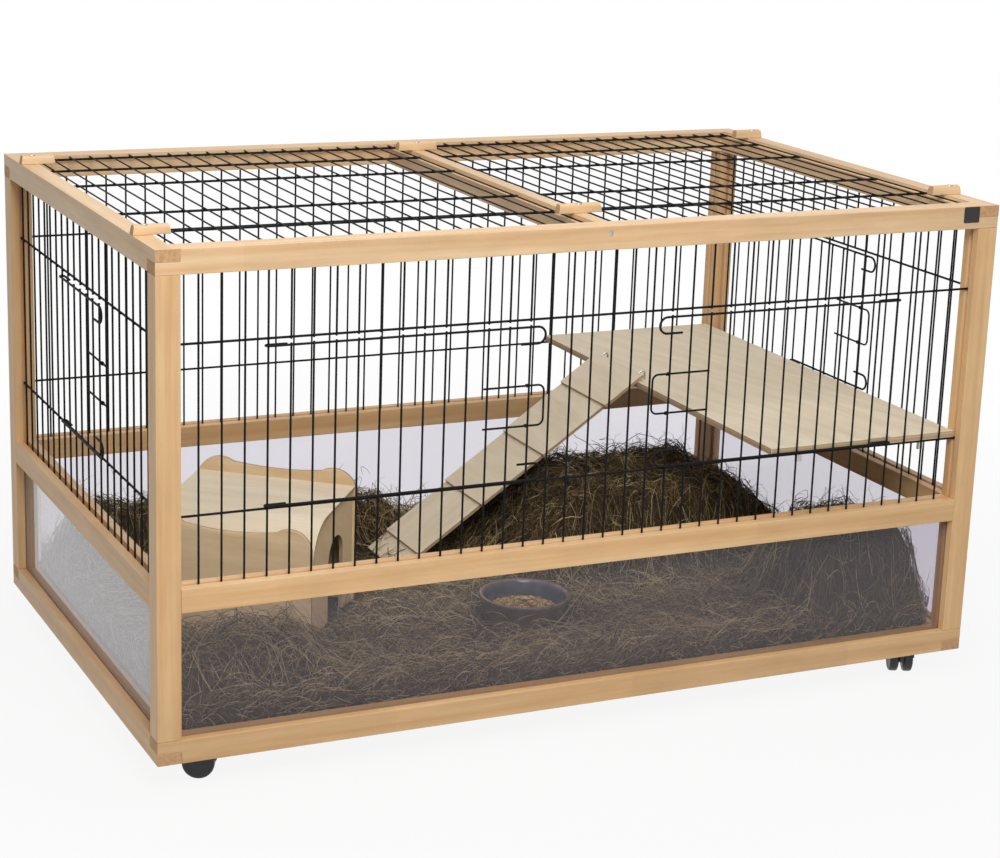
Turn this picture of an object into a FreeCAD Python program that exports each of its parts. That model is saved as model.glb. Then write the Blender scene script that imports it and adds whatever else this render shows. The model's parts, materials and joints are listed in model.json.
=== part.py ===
import FreeCAD
import Part
import math
import os

Vec = FreeCAD.Vector

# Outer size of the wooden frame, in millimetres
width = 1150.0
depth = 700.0
frame_height = 622.0
stock = 30.0
tray_opening = 159.0

# Grooves, panes and floor
groove_width = 6.0
groove_depth = 8.0
pane_thickness = 5.0
edge_play = 0.5
floor_thickness = 8.0
floor_rise = 17.0
floor_play = 0.3

# Casters
wheel_radius = 20.0
wheel_width = 12.5
wheel_chamfer = 3.0
axle_radius = 2.5
caster_trail = 8.0
caster_end_inset = 61.0
caster_front_inset = 54.5
hood_gap = 0.7
hood_wall = 1.3
hood_width = 33.0
hood_skirt = 6.0
web_thickness = 6.0
web_gap = 0.5
hub_radius = 8.0
boss_radius = 8.0
boss_rise = 13.0
pin_radius = 4.0
plate_side = 36.0
plate_thickness = 2.0
running_gap = 0.05
seat_gap = 0.3
wheel_sides = 20
hole_sides = 8
caster_yaws = {"front_left": 155.0, "front_right": 65.0, "back_left": 110.0, "back_right": 20.0}

# Wires
wire_dia = 2.6
stay_dia = 3.0
lid_wire_dia = 2.2
lid_bar_dia = 3.2
wire_sides = 8
thin_sides = 6
bend_steps = 3
front_wire_count = 38
front_edge_gap = 25.0
side_wire_count = 22
side_edge_gap = 15.0
stay_drop = 84.0
stay_rise = 83.0
stub_end = 1.5

# Doors and latches
front_hinge_index = 3
front_door_count = 12
side_hinge_index = 7
side_door_count = 6
door_gap = 4.0
door_drop = 8.0
hinge_gap = 0.1
hinge_tail = 24.0
hook_radius = 10.5
hook_reach = 9.3
hook_return = 22.0
latch_height = 51.0
latch_drop = 5.5
latch_corner = 8.0
latch_reach = 5.8
latch_back_count = 2
latch_end = 3.0
eyelet_gap = 0.1
eyelet_wall = 0.6
eyelet_length = 5.0

# Lids and their turn buttons
rebate_width = 6.0
rebate_depth = 7.0
lid_bar_insets = (7.0, 100.0, 219.0)
lid_edge_gap = 4.0
lid_end_gap = 2.0
button_width = 13.0
button_height = 12.0
button_round = 5.0
button_slope = 2.0
side_button_length = 46.0
beam_button_length = 60.0
button_inset = 92.0
screw_radius = 2.0
screw_head_radius = 3.8
screw_head_height = 2.2
screw_grip = 14.0
head_play = 0.3

# Beam screws
beam_screw_drop = 10.0
beam_screw_length = 55.0

# Platform and ramp
platform_length = 286.5
platform_thickness = 9.0
platform_hook_insets = (44.0, 236.0)
platform_hook_width = 10.0
platform_hook_leg = 13.0
platform_hook_plate = 1.5
swing_room = 1.5
tread_thickness = 5.0
tread_length = 125.0
tread_overlap = 12.0
tread_tilt = 34.45
top_tread_length = 64.0
ramp_top_width = 143.0
ramp_foot_width = 112.0
ramp_top_centre = 102.5
ramp_foot_centre = 128.0
ramp_lap = 8.0
ramp_hook_dia = 3.0
ramp_hook_inset = 14.0
ramp_hook_run = 12.0
ramp_hook_corner = 4.0
ramp_hook_play = 0.6

# Bedding, bowl and house
bed_thickness = 24.0
bed_play = 1.0
bowl_x = -5.0
bowl_y = -160.0
bowl_radius = 62.0
bowl_foot_radius = 51.0
bowl_height = 62.5
bowl_wall = 8.0
bowl_floor = 12.0
bowl_sides = 32
bowl_pocket_gap = 4.0
right_heap_run = 248.0
right_heap_y = -90.0
right_heap_height = 125.0
right_heap_slopes = (140.0, 184.0, 50.0, 189.0)
heap_gap = 5.0
back_heap_y = 200.0
left_heap_length = 200.0
left_heap_height = 85.0
left_heap_slopes = (44.0, 60.0, 35.0, 40.0)
middle_heap_height = 55.0
middle_heap_slopes = (50.0, 60.0, 35.0, 40.0)
front_heap_length = 244.0
front_heap_height = 55.0
front_heap_slopes = (30.0, 70.0, 45.0, 50.0)
corner_heap_length = 210.0
corner_heap_depth = 205.0
corner_heap_height = 118.0
corner_heap_slopes = (60.0, 34.0, 30.0, 70.0)
house_place = 0.2426
house_y = 64.0
house_yaw = -40.0
house_length = 226.0
house_depth = 170.0
house_joint_height = 162.7
house_roof_fall = 12.0
house_roof_corner = 58.0
house_roof_skirt = 80.0
house_ply = 6.0
house_sheet = 4.0
house_peak_offset = 90.0
house_saddle_offset = 64.0
house_back_peak = 182.5
house_back_dip = 174.5
house_front_end = 124.0
house_front_peak = 149.0
house_front_dip = 138.0
house_gable_inset = 3.0
house_door_width = 62.0
house_door_height = 112.0
house_door_centre = 68.0

# Heights that follow
axle_z = wheel_radius
hood_radius = wheel_radius + hood_gap + hood_wall
plate_z = axle_z + hood_radius + boss_rise
floor_z = plate_z + plate_thickness
floor_top = floor_z + floor_thickness
base_z = floor_z - floor_rise
tray_z = base_z + stock
mid_z = tray_z + tray_opening
cage_z = mid_z + stock
top_z = base_z + frame_height
eave_z = top_z - stock
stay_low_z = cage_z + stay_rise
stay_high_z = eave_z - stay_drop
bed_top = floor_top + bed_thickness

# Plan positions that follow
half_width = width / 2
half_depth = depth / 2
inner_x = half_width - stock
inner_y = half_depth - stock
front_pitch = (2 * inner_x - 2 * front_edge_gap) / (front_wire_count - 1)
side_pitch = (2 * inner_y - 2 * side_edge_gap) / (side_wire_count - 1)

# Each side is drawn as if it were the front and then turned about the upright axis
sides = {
    "front": {"length": width, "reach": half_depth, "turn": 0.0},
    "right": {"length": depth, "reach": half_width, "turn": 90.0},
    "back": {"length": width, "reach": half_depth, "turn": 180.0},
    "left": {"length": depth, "reach": half_width, "turn": -90.0},
}
for name in ("front", "back"):
    sides[name].update({"wires": front_wire_count, "pitch": front_pitch})
for name in ("left", "right"):
    sides[name].update({"wires": side_wire_count, "pitch": side_pitch})


def block(x0, x1, y0, y1, z0, z1):
    return Part.makeBox(x1 - x0, y1 - y0, z1 - z0, Vec(x0, y0, z0))


def polygon_face(points):
    return Part.Face(Part.makePolygon(points + points[:1]))


# Corners of a regular polygon with its flats at the given radius, one of them square to the up axis
def ring(centre, direction, radius, sides):
    along = Vec(direction).normalize()
    across = Vec(1, 0, 0)
    if abs(along.z) < 0.99:
        across = along.cross(Vec(0, 0, 1)).normalize()
    up = across.cross(along)
    corner = radius / math.cos(math.pi / sides)
    points = []
    for k in range(sides):
        angle = math.pi / 2 + (k + 0.5) * 2 * math.pi / sides
        points.append(centre + across * (corner * math.cos(angle)) + up * (corner * math.sin(angle)))
    return points


# A closed solid through rings of equally many points, capped at both ends
def stacked(rings):
    faces = [polygon_face(rings[0]), polygon_face(rings[-1])]
    for low, high in zip(rings, rings[1:]):
        for k in range(len(low)):
            faces.append(polygon_face([low[k - 1], low[k], high[k], high[k - 1]]))
    solid = Part.makeSolid(Part.makeShell(faces))
    if solid.Volume < 0:
        solid.reverse()
    return solid


# A turned piece from pairs of radius and distance along its axis
def lathe(profile, base, direction, sides):
    along = Vec(direction).normalize()
    return stacked([ring(base + along * distance, along, radius, sides) for radius, distance in profile])


def peg(radius, base, top, sides):
    return lathe([(radius, 0.0), (radius, (top - base).Length)], base, top - base, sides)


# Radius of a hole in which a faceted pin of the given radius turns freely
def turning_radius(radius, sides, gap):
    return radius / math.cos(math.pi / sides) + gap


def turned(shape, angle, centre=Vec(0, 0, 0)):
    copy = shape.copy()
    copy.rotate(centre, Vec(0, 0, 1), angle)
    return copy


def mirrored(shape):
    return shape.mirror(Vec(0, 0, 0), Vec(1, 0, 0))


def thin_wire(start, end, dia):
    return peg(dia / 2, start, end, thin_sides)


# Straight runs joined by an arc of the given radius at each inner point
def rounded_path(points, radii):
    edges = []
    start = points[0]
    for before, corner, after, radius in zip(points, points[1:], points[2:], radii):
        way_in = (corner - before).normalize()
        way_out = (after - corner).normalize()
        half_turn = way_in.getAngle(way_out) / 2
        cut = radius * math.tan(half_turn)
        first = corner - way_in * cut
        last = corner + way_out * cut
        inward = (way_out - way_in).normalize()
        middle = corner + inward * (radius / math.cos(half_turn) - radius)
        if (first - start).Length > 1e-6:
            edges.append(Part.LineSegment(start, first).toShape())
        edges.append(Part.Arc(first, middle, last).toShape())
        start = last
    edges.append(Part.LineSegment(start, points[-1]).toShape())
    return Part.Wire(edges)


# A bend is made of equal small turns whose straight pieces touch the bend's arc
def bend_points(before, corner, after, radius):
    way_in = (corner - before).normalize()
    way_out = (after - corner).normalize()
    turn = way_in.getAngle(way_out)
    step = turn / bend_steps
    inward = (way_out - way_in * way_in.dot(way_out)).normalize()
    centre = corner - way_in * (radius * math.tan(turn / 2)) + inward * radius
    reach = radius / math.cos(step / 2)
    points = []
    for k in range(bend_steps):
        angle = (k + 0.5) * step
        points.append(centre - inward * (reach * math.cos(angle)) + way_in * (reach * math.sin(angle)))
    return points


# A round wire bent at each inner point, mitred from piece to piece
def bent_wire(points, radii, dia):
    line = [points[0]]
    for before, corner, after, radius in zip(points, points[1:], points[2:], radii):
        line += bend_points(before, corner, after, radius)
    line.append(points[-1])
    ways = [(after - before).normalize() for before, after in zip(line, line[1:])]
    rings = [ring(line[0], ways[0], dia / 2, wire_sides)]
    for k in range(1, len(line)):
        way = ways[k - 1]
        mitre = way + ways[min(k, len(ways) - 1)]
        rings.append([p + way * ((line[k] - p).dot(mitre) / way.dot(mitre)) for p in rings[-1]])
    return stacked(rings)


# Rails along one side; the outer face lies at minus reach
def groove_y(side):
    return -side["reach"] + stock / 2


def groove_cut(side, half_length, z0, z1):
    middle = groove_y(side)
    return block(-half_length, half_length, middle - groove_width / 2, middle + groove_width / 2, z0, z1)


def rail(side, half_length, z0):
    return block(-half_length, half_length, -side["reach"], -side["reach"] + stock, z0, z0 + stock)


# Half the thickness comes off both ends, so that the corner pieces lap
def lapped(shape, side, z0):
    outer = side["length"] / 2
    for end in (-1, 1):
        inner_end = end * (outer - stock)
        x0 = min(inner_end, end * outer)
        shape = shape.cut(block(x0, x0 + stock, -side["reach"], -side["reach"] + stock, z0, z0 + stock / 2))
    return shape


def is_end(name):
    return name in ("left", "right")


def top_rail(name):
    side = sides[name]
    opening = side["length"] / 2 - stock
    shape = rail(side, side["length"] / 2, eave_z)
    shape = lapped(shape, side, eave_z if is_end(name) else eave_z + stock / 2)
    shape = shape.cut(groove_cut(side, opening, eave_z, eave_z + groove_depth))
    if is_end(name):
        inner = -side["reach"] + stock
        rebate = block(-opening, opening, inner - rebate_width, inner, top_z - rebate_depth, top_z)
        shape = shape.cut(rebate)
    return turned(shape, side["turn"])


def bottom_rail(name):
    side = sides[name]
    opening = side["length"] / 2 - stock
    inner = -side["reach"] + stock
    shape = rail(side, side["length"] / 2, base_z)
    shape = lapped(shape, side, base_z + stock / 2 if is_end(name) else base_z)
    shape = shape.cut(groove_cut(side, opening + groove_depth, tray_z - groove_depth, tray_z))
    floor_slot = block(-opening - groove_depth, opening + groove_depth, inner - groove_depth, inner,
                       floor_z, floor_top + floor_play)
    shape = shape.cut(floor_slot)
    if not is_end(name):
        for end in ("left", "right"):
            slot = groove_cut(sides[end], inner_y + groove_depth, tray_z - groove_depth, tray_z)
            shape = shape.cut(turned(slot, sides[end]["turn"]))
    return turned(shape, side["turn"])


def mid_rail(name):
    side = sides[name]
    opening = side["length"] / 2 - stock
    shape = rail(side, opening, mid_z)
    shape = shape.cut(groove_cut(side, opening, mid_z, mid_z + groove_depth))
    shape = shape.cut(groove_cut(side, opening, cage_z - groove_depth, cage_z))
    return turned(shape, side["turn"])


def post(x_sign, y_sign):
    half_groove = groove_width / 2
    groove_x = half_width - stock / 2
    groove_line = half_depth - stock / 2
    shape = block(inner_x, half_width, inner_y, half_depth, tray_z, eave_z)
    shape = shape.cut(block(inner_x, inner_x + groove_depth, groove_line - half_groove,
                            groove_line + half_groove, tray_z, eave_z))
    shape = shape.cut(block(groove_x - half_groove, groove_x + half_groove, inner_y,
                            inner_y + groove_depth, tray_z, eave_z))
    if x_sign < 0:
        shape = mirrored(shape)
    if y_sign < 0:
        shape = shape.mirror(Vec(0, 0, 0), Vec(0, 1, 0))
    return shape


def pane(name):
    side = sides[name]
    half_length = side["length"] / 2 - stock + groove_depth - edge_play
    middle = groove_y(side)
    sheet = block(-half_length, half_length, middle - pane_thickness / 2, middle + pane_thickness / 2,
                  tray_z - groove_depth, mid_z + groove_depth - edge_play)
    return turned(sheet, side["turn"])


def floor_panel():
    reach = groove_depth - edge_play
    return block(-inner_x - reach, inner_x + reach, -inner_y - reach, inner_y + reach, floor_z, floor_top)


def centre_beam():
    half = stock / 2
    shape = block(-half, half, -inner_y, inner_y, eave_z, top_z)
    for x0 in (-half, half - rebate_width):
        shape = shape.cut(block(x0, x0 + rebate_width, -inner_y, inner_y, top_z - rebate_depth, top_z))
    return shape


# One countersunk screw through the front rail into the beam
def beam_screw(play=0.0):
    profile = [
        (screw_head_radius + play, 0.0),
        (screw_radius + play, screw_head_height),
        (screw_radius + play, beam_screw_length + play),
    ]
    return lathe(profile, Vec(0, -half_depth, top_z - beam_screw_drop), Vec(0, 1, 0), wire_sides)


# Upright and lying wires of one side
def upright_y(side):
    return groove_y(side) - stay_dia / 2


def stay_y(side):
    return groove_y(side) + wire_dia / 2


def wire_x(side, index):
    return (index - (side["wires"] - 1) / 2) * side["pitch"]


def grid(name, door_wires):
    side = sides[name]
    y = upright_y(side)
    low = cage_z - groove_depth
    high = eave_z + groove_depth
    solids = []
    for index in range(side["wires"]):
        x = wire_x(side, index)
        spans = [(low, high)]
        if index in door_wires:
            spans = [(low, stay_low_z + stub_end), (stay_high_z - stub_end, high)]
        for z0, z1 in spans:
            solids.append(thin_wire(Vec(x, y, z0), Vec(x, y, z1), wire_dia))
    reach = side["length"] / 2 - stock + groove_depth
    for z in (stay_low_z, stay_high_z):
        stay_ends = (Vec(-reach, stay_y(side), z), Vec(reach, stay_y(side), z))
        solids.append(peg(stay_dia / 2, *stay_ends, wire_sides))
    return [turned(solid, side["turn"]) for solid in solids]


# Where a door hangs: its hinge wire, its own wires and the grid wire that its free end meets
def door_plan(name, flipped):
    side = sides[name]
    hinge = side_hinge_index if is_end(name) else front_hinge_index
    count = side_door_count if is_end(name) else front_door_count
    wires = list(range(hinge + 1, hinge + 1 + count))
    last = side["wires"] - 1
    own = [last - index for index in wires] if flipped else wires
    return {
        "side": side,
        "flipped": flipped,
        "own_wires": own,
        "hinge_x": wire_x(side, hinge),
        "wire_xs": [wire_x(side, index) for index in wires],
        "catch_x": wire_x(side, hinge + 1 + count),
    }


def placed(plan, solids):
    if plan["flipped"]:
        solids = [mirrored(solid) for solid in solids]
    return [turned(solid, plan["side"]["turn"]) for solid in solids]


def hinge_bend(plan):
    return turning_radius(wire_dia / 2, thin_sides, hinge_gap) + stay_dia / 2


def door_wire_y(plan):
    return upright_y(plan["side"]) - hinge_bend(plan) + stay_dia / 2 + wire_dia / 2


def latch_y(plan):
    return door_wire_y(plan) + wire_dia + eyelet_gap + eyelet_wall


def latch_heights():
    middle = (stay_low_z + stay_high_z) / 2 - latch_drop
    return middle + latch_height / 2, middle - latch_height / 2


# A door rail: tail, hairpin round the hinge wire, long run, U hook and its return
def door_rail(plan, z, hook_turn):
    y = upright_y(plan["side"])
    bend = hinge_bend(plan)
    hinge = plan["hinge_x"]
    outermost = plan["catch_x"] - hook_reach
    back_z = z + hook_turn * 2 * hook_radius
    points = [
        Vec(hinge + hinge_tail, y + bend, z),
        Vec(hinge - bend, y + bend, z),
        Vec(hinge - bend, y - bend, z),
        Vec(outermost, y - bend, z),
        Vec(outermost, y - bend, back_z),
        Vec(outermost - hook_radius - hook_return, y - bend, back_z),
    ]
    return bent_wire(points, [bend, bend, hook_radius, hook_radius], stay_dia)


def eyelet(plan, z):
    start = Vec(plan["wire_xs"][-1] - eyelet_length / 2, latch_y(plan), z)
    end = start + Vec(eyelet_length, 0, 0)
    bore = wire_dia / 2 + eyelet_gap
    return peg(bore + eyelet_wall, start, end, wire_sides).cut(peg(bore, start, end, wire_sides))


def door(plan):
    high = stay_high_z - door_drop
    low = stay_low_z + door_gap
    solids = [door_rail(plan, high, -1), door_rail(plan, low, 1)]
    for x in plan["wire_xs"]:
        y = door_wire_y(plan)
        solids.append(thin_wire(Vec(x, y, low - stub_end), Vec(x, y, high + stub_end), wire_dia))
    for z in latch_heights():
        solids.append(eyelet(plan, z))
    return placed(plan, solids)


def latch(plan):
    high, low = latch_heights()
    y = latch_y(plan)
    inner = plan["wire_xs"][-1 - latch_back_count] - latch_end
    outer = plan["catch_x"] - latch_reach
    points = [Vec(inner, y, high), Vec(outer, y, high), Vec(outer, y, low), Vec(inner, y, low)]
    return placed(plan, [bent_wire(points, [latch_corner, latch_corner], wire_dia)])


# The left lid; its bars lie in the rebates and carry the cross wires
def left_lid():
    bar_z = top_z - rebate_depth + lid_bar_dia / 2
    wire_z = bar_z + lid_bar_dia / 2 + lid_wire_dia / 2
    left_end = -inner_x - rebate_width + edge_play
    right_end = -stock / 2 + rebate_width - edge_play
    solids = []
    for inset in lid_bar_insets:
        for y in (inset - inner_y, inner_y - inset):
            solids.append(thin_wire(Vec(left_end, y, bar_z), Vec(right_end, y, bar_z), lid_bar_dia))
    xs = [wire_x(sides["front"], index) for index in range(front_wire_count // 2 - 1)]
    xs += [-inner_x + lid_edge_gap, -stock / 2 - lid_edge_gap]
    reach = inner_y - lid_end_gap
    for x in xs:
        solids.append(thin_wire(Vec(x, -reach, wire_z), Vec(x, reach, wire_z), lid_wire_dia))
    return solids


# Turn buttons: a round-topped bar on a pivot screw
def button_pivot_x(place):
    return {"left": -half_width + stock / 2, "middle": 0.0, "right": half_width - stock / 2}[place]


def button(place, y):
    z0 = top_z + seat_gap
    z1 = top_z + button_height
    half = button_width / 2
    if place == "middle":
        x0 = -beam_button_length / 2
        length = beam_button_length
    else:
        x0 = -half_width
        length = side_button_length
    shoulder = button_round * (1 - math.sqrt(0.5))
    right = [
        Vec(x0, half, z0),
        Vec(x0, half, z1 - button_round),
        Vec(x0, half - shoulder, z1 - shoulder),
        Vec(x0, half - button_round, z1),
    ]
    left = [Vec(p.x, -p.y, p.z) for p in reversed(right)]
    bar = polygon_face(right + left).extrude(Vec(length, 0, 0))
    sloped = polygon_face([
        Vec(x0, -half, z0),
        Vec(x0 + length, -half, z0),
        Vec(x0 + length - button_slope, -half, z1),
        Vec(x0 + button_slope, -half, z1),
    ]).extrude(Vec(0, button_width, 0))
    shape = bar.common(sloped)
    if place == "right":
        shape = mirrored(shape)
    shape.translate(Vec(0, y, 0))
    x = button_pivot_x(place)
    head_z = z1 - screw_head_height - head_play
    bore = turning_radius(screw_radius, wire_sides, running_gap)
    recess = turning_radius(screw_head_radius, wire_sides, head_play)
    shape = shape.cut(peg(bore, Vec(x, y, z0), Vec(x, y, z1), hole_sides))
    return shape.cut(peg(recess, Vec(x, y, head_z), Vec(x, y, z1), hole_sides))


def button_pivot(place, y):
    length = screw_grip + button_height
    profile = [
        (screw_radius, 0.0),
        (screw_radius, length - screw_head_height),
        (screw_head_radius, length - screw_head_height),
        (screw_head_radius, length),
    ]
    return lathe(profile, Vec(button_pivot_x(place), y, top_z - screw_grip), Vec(0, 0, 1), wire_sides)


def pilot_holes():
    holes = []
    for place in ("left", "middle", "right"):
        for y in (-half_depth + button_inset, half_depth - button_inset):
            x = button_pivot_x(place)
            holes.append(peg(screw_radius, Vec(x, y, top_z - screw_grip), Vec(x, y, top_z), wire_sides))
    for turn in (0.0, 180.0):
        holes.append(turned(beam_screw(running_gap), turn))
    return holes


def drilled(shape):
    for hole in pilot_holes():
        if shape.BoundBox.intersect(hole.BoundBox):
            shape = shape.cut(hole)
    return shape


# A caster stands at the origin with its swivel axis upright, rolling along x
def caster_plate():
    half = plate_side / 2
    plate = block(-half, half, -half, half, plate_z, floor_z)
    bore = turning_radius(pin_radius, wire_sides, running_gap)
    return plate.cut(peg(bore, Vec(0, 0, plate_z), Vec(0, 0, floor_z), hole_sides))


def across_axle(radius, half_span, sides):
    base = Vec(-caster_trail, -half_span, axle_z)
    return peg(radius, base, base + Vec(0, 2 * half_span, 0), sides)


def caster_hood():
    half = hood_width / 2
    reach = caster_trail + 2 * hood_radius
    boss_top = plate_z - seat_gap
    hood = across_axle(hood_radius, half, wheel_sides)
    hood = hood.fuse(peg(boss_radius, Vec(0, 0, axle_z), Vec(0, 0, boss_top), hole_sides))
    hood = hood.cut(across_axle(hood_radius - hood_wall, half, wheel_sides))
    hood = hood.common(block(-reach, reach, -half, half, axle_z + hood_skirt, boss_top))
    web = across_axle(hood_radius - hood_wall / 2, web_thickness / 2, wheel_sides)
    web = web.common(block(-reach, reach, -half, half, axle_z, boss_top))
    web = web.fuse(across_axle(hub_radius, web_thickness / 2, hole_sides))
    web = web.cut(across_axle(turning_radius(axle_radius, wheel_sides, running_gap), half, hole_sides))
    pin = peg(pin_radius, Vec(0, 0, plate_z - boss_rise), Vec(0, 0, floor_z - seat_gap), wire_sides)
    return hood.fuse([web, pin]).removeSplitter()


# Two wheels and their axle in one turned profile along the axle
def caster_wheels():
    near = web_thickness / 2 + web_gap
    far = near + wheel_width
    half_profile = [
        (axle_radius, near),
        (wheel_radius, near),
        (wheel_radius, far - wheel_chamfer),
        (wheel_radius - wheel_chamfer, far),
    ]
    profile = [(radius, -y) for radius, y in reversed(half_profile)] + half_profile
    return lathe(profile, Vec(-caster_trail, 0, axle_z), Vec(0, 1, 0), wheel_sides)


def at_corner(shape, corner):
    x_sign = 1 if corner.endswith("right") else -1
    y_sign = 1 if corner.startswith("back") else -1
    shape = turned(shape, caster_yaws[corner])
    x = x_sign * (half_width - caster_end_inset)
    y = y_sign * (half_depth - caster_front_inset)
    shape.translate(Vec(x, y, 0))
    return shape


# The platform spans from front to back on the lower stays
platform_right = inner_x - edge_play
platform_left = platform_right - platform_length
platform_z = stay_low_z + stay_dia / 2
platform_top = platform_z + platform_thickness
tilt = math.radians(tread_tilt)
ramp_up = Vec(math.cos(tilt), 0, math.sin(tilt))
ramp_out = Vec(-math.sin(tilt), 0, math.cos(tilt))
ramp_top = Vec(platform_left, 0, platform_top + seat_gap + tread_thickness / math.cos(tilt))


def ramp_hook_points(y):
    start = ramp_top + ramp_up * ramp_lap - ramp_out * (tread_thickness / 2) + Vec(0, y, 0)
    bend = start + ramp_up * ramp_hook_run
    return [start, bend, Vec(bend.x, y, platform_z)]


def ramp_hook_ys():
    half = ramp_top_width / 2 - ramp_hook_inset
    return (ramp_top_centre - half, ramp_top_centre + half)


def platform():
    reach = -upright_y(sides["front"]) - wire_dia / 2 - seat_gap
    board = block(platform_left, platform_right, -reach, reach, platform_z, platform_top)
    for y in ramp_hook_ys():
        x = ramp_hook_points(y)[1].x
        hole_radius = ramp_hook_dia / 2 + ramp_hook_play
        board = board.cut(peg(hole_radius, Vec(x, y, platform_z), Vec(x, y, platform_top), wire_sides))
    return board.cut(tail_notch(reach))


# Room in the front edge for the lower eye of the right front door and its tail, also when it swings
def tail_notch(reach):
    plan = door_plan("front", True)
    bend = hinge_bend(plan)
    tail_y = upright_y(plan["side"]) + bend + stay_dia / 2 + seat_gap
    x0 = -plan["hinge_x"] - hinge_tail - edge_play
    x1 = -plan["hinge_x"] + bend + stay_dia + swing_room
    return block(x0, x1, -reach, tail_y, platform_z, platform_top)


# Angle hooks under the board, just inside the stays
def platform_hooks():
    leg_y = -stay_y(sides["front"]) - stay_dia / 2 - seat_gap
    solids = []
    for inset in platform_hook_insets:
        x = platform_left + inset
        for turn in (0.0, 180.0):
            profile = polygon_face([
                Vec(0, -leg_y, platform_z),
                Vec(0, -leg_y, platform_z - platform_hook_leg),
                Vec(0, -leg_y + platform_hook_plate, platform_z - platform_hook_leg),
                Vec(0, -leg_y + platform_hook_plate, platform_z - platform_hook_plate),
                Vec(0, -leg_y + platform_hook_leg, platform_z - platform_hook_plate),
                Vec(0, -leg_y + platform_hook_leg, platform_z),
            ])
            hook = profile.extrude(Vec(platform_hook_width, 0, 0))
            hook.translate(Vec(-platform_hook_width / 2, 0, 0))
            hook = turned(hook, turn)
            hook.translate(Vec(x, 0, 0))
            solids.append(hook)
    return solids


# Shingled treads from the platform edge down to the bedding
def ramp_treads():
    foot_z = bed_top + seat_gap
    treads = []
    high = ramp_lap
    low = -top_tread_length
    while True:
        drop = (len(treads) + 1) * tread_thickness
        reach_low = (foot_z - ramp_top.z + drop * math.cos(tilt)) / math.sin(tilt)
        last = low <= reach_low
        low = max(low, reach_low)
        treads.append((high, low, drop))
        if last:
            return treads
        high = low + tread_overlap
        low = high - tread_length


def ramp():
    treads = ramp_treads()
    solids = []
    for k, (high, low, drop) in enumerate(treads):
        share = k / max(len(treads) - 1, 1)
        half = (ramp_top_width + (ramp_foot_width - ramp_top_width) * share) / 2
        centre = ramp_top_centre + (ramp_foot_centre - ramp_top_centre) * share
        corner = ramp_top - ramp_out * drop + Vec(0, centre - half, 0)
        end = polygon_face([
            corner + ramp_up * low,
            corner + ramp_up * high,
            corner + ramp_up * high + ramp_out * tread_thickness,
            corner + ramp_up * low + ramp_out * tread_thickness,
        ])
        solids.append(end.extrude(Vec(0, 2 * half, 0)))
    for y in ramp_hook_ys():
        solids.append(bent_wire(ramp_hook_points(y), [ramp_hook_corner], ramp_hook_dia))
    return solids


def food_bowl():
    profile = [
        (bowl_foot_radius, 0.0),
        (bowl_radius, bowl_height),
        (bowl_radius - bowl_wall, bowl_height),
        (bowl_foot_radius - bowl_wall, bowl_floor),
    ]
    return lathe(profile, Vec(bowl_x, bowl_y, floor_top), Vec(0, 0, 1), bowl_sides)


# The house is drawn with its back panel along x, its front towards minus y, and its foot at zero
def in_cage(shape):
    shape = turned(shape, house_yaw)
    shape.translate(Vec(-house_place * width, house_y, bed_top + seat_gap))
    return shape


def scalloped_panel(y, end_height, peak, dip):
    half = house_length / 2
    saddle = Vec(house_saddle_offset, y, (peak + dip) / 2)
    end = Vec(half, y, end_height)
    crown = Vec(house_peak_offset, y, peak)
    left_end, left_crown, left_saddle = [Vec(-p.x, p.y, p.z) for p in (end, crown, saddle)]
    crest = [
        Part.Arc(left_end, left_crown, left_saddle).toShape(),
        Part.Arc(left_saddle, Vec(0, y, dip), saddle).toShape(),
        Part.Arc(saddle, crown, end).toShape(),
    ]
    outline = Part.Wire(crest + [
        Part.LineSegment(end, Vec(half, y, 0)).toShape(),
        Part.LineSegment(Vec(half, y, 0), Vec(-half, y, 0)).toShape(),
        Part.LineSegment(Vec(-half, y, 0), left_end).toShape(),
    ])
    return Part.Face(outline).extrude(Vec(0, house_ply, 0))


# The roof line falls gently from the back and turns down at the front; inset goes inwards from it
def roof_line(x, inset, foot_z):
    slope = math.atan2(house_roof_fall, house_depth)
    front = house_depth - inset
    top = house_joint_height - inset / math.cos(slope)
    points = [
        Vec(x, 0, top),
        Vec(x, -front, top - front * math.tan(slope)),
        Vec(x, -front, foot_z),
    ]
    return rounded_path(points, [house_roof_corner - inset])


def closed_face(first, second):
    joins = []
    for k in (0, -1):
        ends = (first.OrderedVertexes[k].Point, second.OrderedVertexes[k].Point)
        joins.append(Part.LineSegment(*ends).toShape())
    return Part.Face(Part.Wire(Part.__sortEdges__(first.Edges + second.Edges + joins)))


def house_roof():
    half = house_length / 2
    face = closed_face(roof_line(-half, 0, house_roof_skirt), roof_line(-half, house_sheet, house_roof_skirt))
    return face.extrude(Vec(house_length, 0, 0))


def gable(x):
    line = roof_line(x, house_sheet, 0)
    start = line.OrderedVertexes[0].Point
    end = line.OrderedVertexes[-1].Point
    corner = Vec(x, 0, 0)
    edges = line.Edges
    edges.append(Part.LineSegment(end, corner).toShape())
    edges.append(Part.LineSegment(corner, start).toShape())
    wall = Part.Face(Part.Wire(Part.__sortEdges__(edges))).extrude(Vec(house_ply, 0, 0))
    radius = house_door_width / 2
    spring = house_door_height - radius
    y = -house_door_centre
    door_hole = block(x, x + house_ply, y - radius, y + radius, 0, spring)
    arch = Part.makeCylinder(radius, house_ply, Vec(x, y, spring), Vec(1, 0, 0))
    return wall.cut(door_hole.fuse(arch))


def house_walls():
    gable_x = house_length / 2 - house_gable_inset - house_ply
    return [
        scalloped_panel(0, house_joint_height, house_back_peak, house_back_dip),
        scalloped_panel(-house_depth - house_ply, house_front_end, house_front_peak, house_front_dip),
        gable(gable_x),
        gable(-gable_x - house_ply),
    ]


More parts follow.
